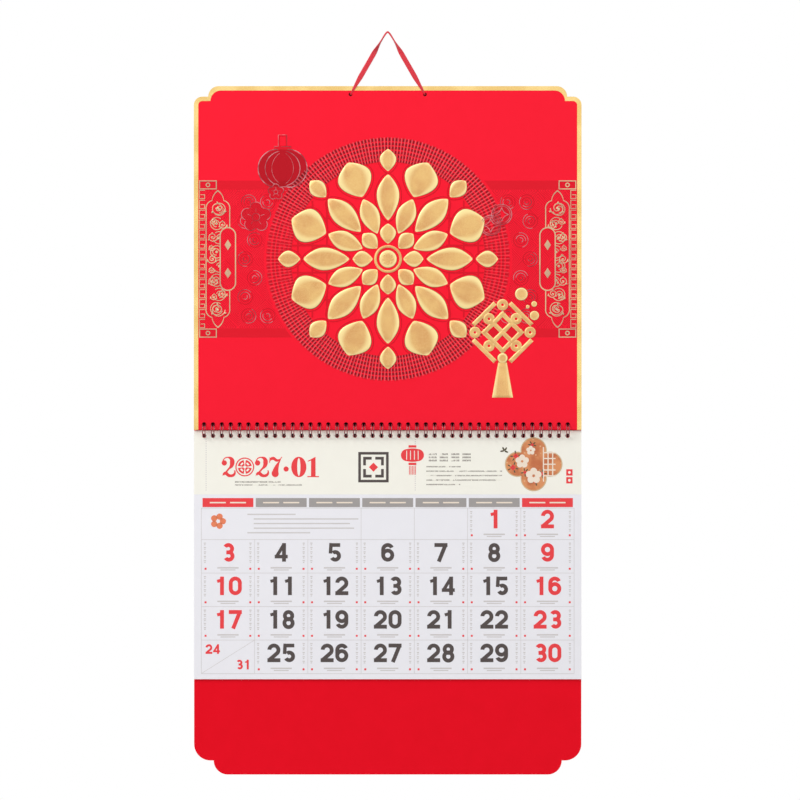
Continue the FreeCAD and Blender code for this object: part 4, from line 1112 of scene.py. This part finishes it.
def make_picture():
    """Pale rim, small red and pink blossoms and dark leaves on the small picture."""
    rim = Sheet()
    red = Sheet()
    leaf = Sheet()
    low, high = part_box("picture_field")
    x = (low.x + high.x) / 2
    z = (low.z + high.z) / 2
    half = (high.x - low.x) / 2
    tall = (high.z - low.z) / 2
    front = low.y - print_lift

    def flat_line(line, width):
        base = []
        inner = []
        count = len(line)
        for i in range(count):
            side = left_of(line[i - 1], line[(i + 1) % count])
            base.append((line[i][0], front, line[i][1]))
            inner.append((line[i][0] + side[0] * width, front, line[i][1] + side[1] * width))
        rim.add_grid([base, inner], closed=True)

    corner = 0.45
    line = []
    for cx, cz in ((1, 0), (0, 1), (-1, 0), (0, -1)):
        reach = half if cx else tall
        chord = tall * corner if cx else half * corner
        inset = half * corner if cx else tall * corner
        bow = reach - inset
        radius = (bow ** 2 + chord ** 2) / (2 * bow)
        middle = reach - radius
        sweep = math.atan2(chord, inset - middle)
        for k in range(17):
            turn = -sweep + 2 * sweep * k / 16
            out = middle + radius * math.cos(turn)
            along = radius * math.sin(turn)
            line.append((x + cx * out - cz * along, z + cz * out + cx * along))
    flat_line(line, 0.9 * MM)

    def spot_fan(sheet, px, pz, radius, stretch=1.0, turn=0.0):
        ring = []
        for k in range(14):
            a = 2 * math.pi * k / 14
            u, v = radius * math.cos(a), radius * stretch * math.sin(a)
            ring.append((px + u * math.cos(turn) - v * math.sin(turn), front,
                         pz + u * math.sin(turn) + v * math.cos(turn)))
        sheet.add_fan((px, front, pz), ring)

    for across, up, size in ((-0.62, 0.3, 2.3), (-0.72, -0.12, 2.4), (0.05, -0.62, 2.0),
                             (-0.3, -0.3, 1.6), (0.3, -0.35, 1.7), (-0.05, 0.72, 1.5)):
        for i in range(4):
            px, pz = polar_spot(x + across * half, z + up * tall, size * 0.6 * MM, math.pi / 2 * i)
            spot_fan(red, px, pz, size * 0.5 * MM)
        for i in range(5):
            turn = 2.4 * i + across * 5
            px, pz = polar_spot(x + across * half, z + up * tall, size * 1.7 * MM, turn)
            spot_fan(leaf, px, pz, 1.5 * MM, 0.4, turn)
    for turn in (-0.4, 0.9, 2.0, 3.3):
        px, pz = polar_spot(x - half * 1.02, z + tall * 0.5, 2.1 * MM, turn)
        spot_fan(leaf, px, pz, 1.9 * MM, 0.42, turn)
    rim.build("picture_rim", "rim ink", "month_pad", smooth=False)
    red.build("picture_red", "red ink", "month_pad", smooth=False)
    leaf.build("picture_leaves", "leaf ink", "month_pad", smooth=False)


make_picture()


# Camera, light and surroundings

key_power = 38.0
fill_power = 13.5
top_power = 9.5
world_light = 0.34
wall_gap = 8.5 * MM
patch_gap = board_thickness + 0.2 * MM


def make_camera():
    """Level camera straight ahead, at the photograph's scale, with the hook at its place in the frame."""
    hook_column, hook_row = 387.7, 33.2
    middle = frame_pixels / 2
    distance = 3.2
    sensor = 36.0
    x = (middle - hook_column) * pixel
    z = (hook_row - middle) * pixel
    data = bpy.data.cameras.new("camera")
    data.sensor_width = sensor
    data.lens = sensor * distance / (frame_pixels * pixel)
    camera = new_object("camera", data)
    camera.location = (x, board_y - distance, z)
    camera.rotation_euler = (math.pi / 2, 0, 0)
    bpy.context.scene.camera = camera


def make_area(name, place, aim, size, power):
    data = bpy.data.lights.new(name, "AREA")
    data.shape = "SQUARE"
    data.size = size
    data.energy = power
    light = new_object(name, data)
    light.location = place
    light.rotation_euler = (Vector(aim) - Vector(place)).to_track_quat("-Z", "Y").to_euler()


def make_world():
    """Pale surroundings that light the object evenly and show as white behind it."""
    world = bpy.data.worlds.new("surroundings")
    bpy.context.scene.world = world
    world.use_nodes = True
    tree = world.node_tree
    tree.nodes.clear()
    nodes = Nodes(tree)
    path = nodes.add("ShaderNodeLightPath")
    seen = nodes.math("MAXIMUM", path.outputs["Is Camera Ray"], path.outputs["Is Glossy Ray"])
    seen = nodes.math("MAXIMUM", seen, path.outputs["Is Transmission Ray"])
    soft = nodes.add("ShaderNodeBackground", Color=(1, 1, 1, 1), Strength=world_light)
    white = nodes.add("ShaderNodeBackground", Color=(1, 1, 1, 1), Strength=1.0)
    blend = nodes.add("ShaderNodeMixShader")
    nodes.put(blend, "0", seen)
    nodes.put(blend, "1", soft.outputs[0])
    nodes.put(blend, "2", white.outputs[0])
    leave = nodes.add("ShaderNodeOutputWorld")
    tree.links.new(blend.outputs[0], leave.inputs["Surface"])


def stage_plane(name, corners, material):
    mesh = bpy.data.meshes.new(name)
    mesh.from_pydata(corners, [], [(0, 1, 2, 3)])
    mesh.materials.append(material)
    thing = new_object(name, mesh)


def painted_wall_shadow_material():
    """Painted wall shadow: a dark colour that shows through the holes from the front and is clear from
    behind.
    """
    material, nodes, shader = new_material("painted wall shadow", "231a1b", 0.9)[:3]
    clear = nodes.add("ShaderNodeBsdfTransparent")
    side = nodes.add("ShaderNodeNewGeometry").outputs["Backfacing"]
    blend = nodes.add("ShaderNodeMixShader")
    nodes.put(blend, "0", side)
    nodes.put(blend, "1", shader.outputs[0])
    nodes.put(blend, "2", clear.outputs[0])
    leave = nodes.tree.nodes["Material Output"]
    nodes.tree.links.new(blend.outputs[0], leave.inputs["Surface"])
    return material


def make_stage():
    """Pale floor far below, and planes of painted wall shadow behind the row of holes and behind each ribbon
    hole.
    """
    reach = 2.0
    low = card_low.z - 0.45
    corners = [(-reach, reach, low), (reach, reach, low), (reach, -reach, low), (-reach, -reach, low)]
    stage_plane("floor", corners, paper_material("floor", "f4f4f4", "f0f0f0", 0.02))
    # painted shadow: dark planes stand in for the wall in shade behind the holes
    dark = painted_wall_shadow_material()
    patch = 4.0
    hole = hole_x / MM
    painted_shadows = (("painted_shadow_by_wire", -180.0, 177.0, board_low.z, 24 * MM, wall_gap),
             ("painted_shadow_by_ribbon_left", -hole - patch, patch - hole, hole_z, 2 * patch * MM, patch_gap),
             ("painted_shadow_by_ribbon_right", hole - patch, hole + patch, hole_z, 2 * patch * MM, patch_gap))
    for name, left, right, middle, tall, gap in painted_shadows:
        depth, foot, head = board_y + gap, middle - tall / 2, middle + tall / 2
        stage_plane(name, [(left * MM, depth, foot), (right * MM, depth, foot),
                           (right * MM, depth, head), (left * MM, depth, head)], dark)


make_camera()
make_world()
make_stage()
centre = (0, 0, -0.35)
make_area("key", (-1.55, -1.6, 1.15), centre, 1.0, key_power)
make_area("fill", (1.6, -2.2, 0.1), centre, 1.6, fill_power)
make_area("top", (0.0, -0.9, 1.6), centre, 0.8, top_power)

bpy.context.scene.view_settings.view_transform = "Standard"
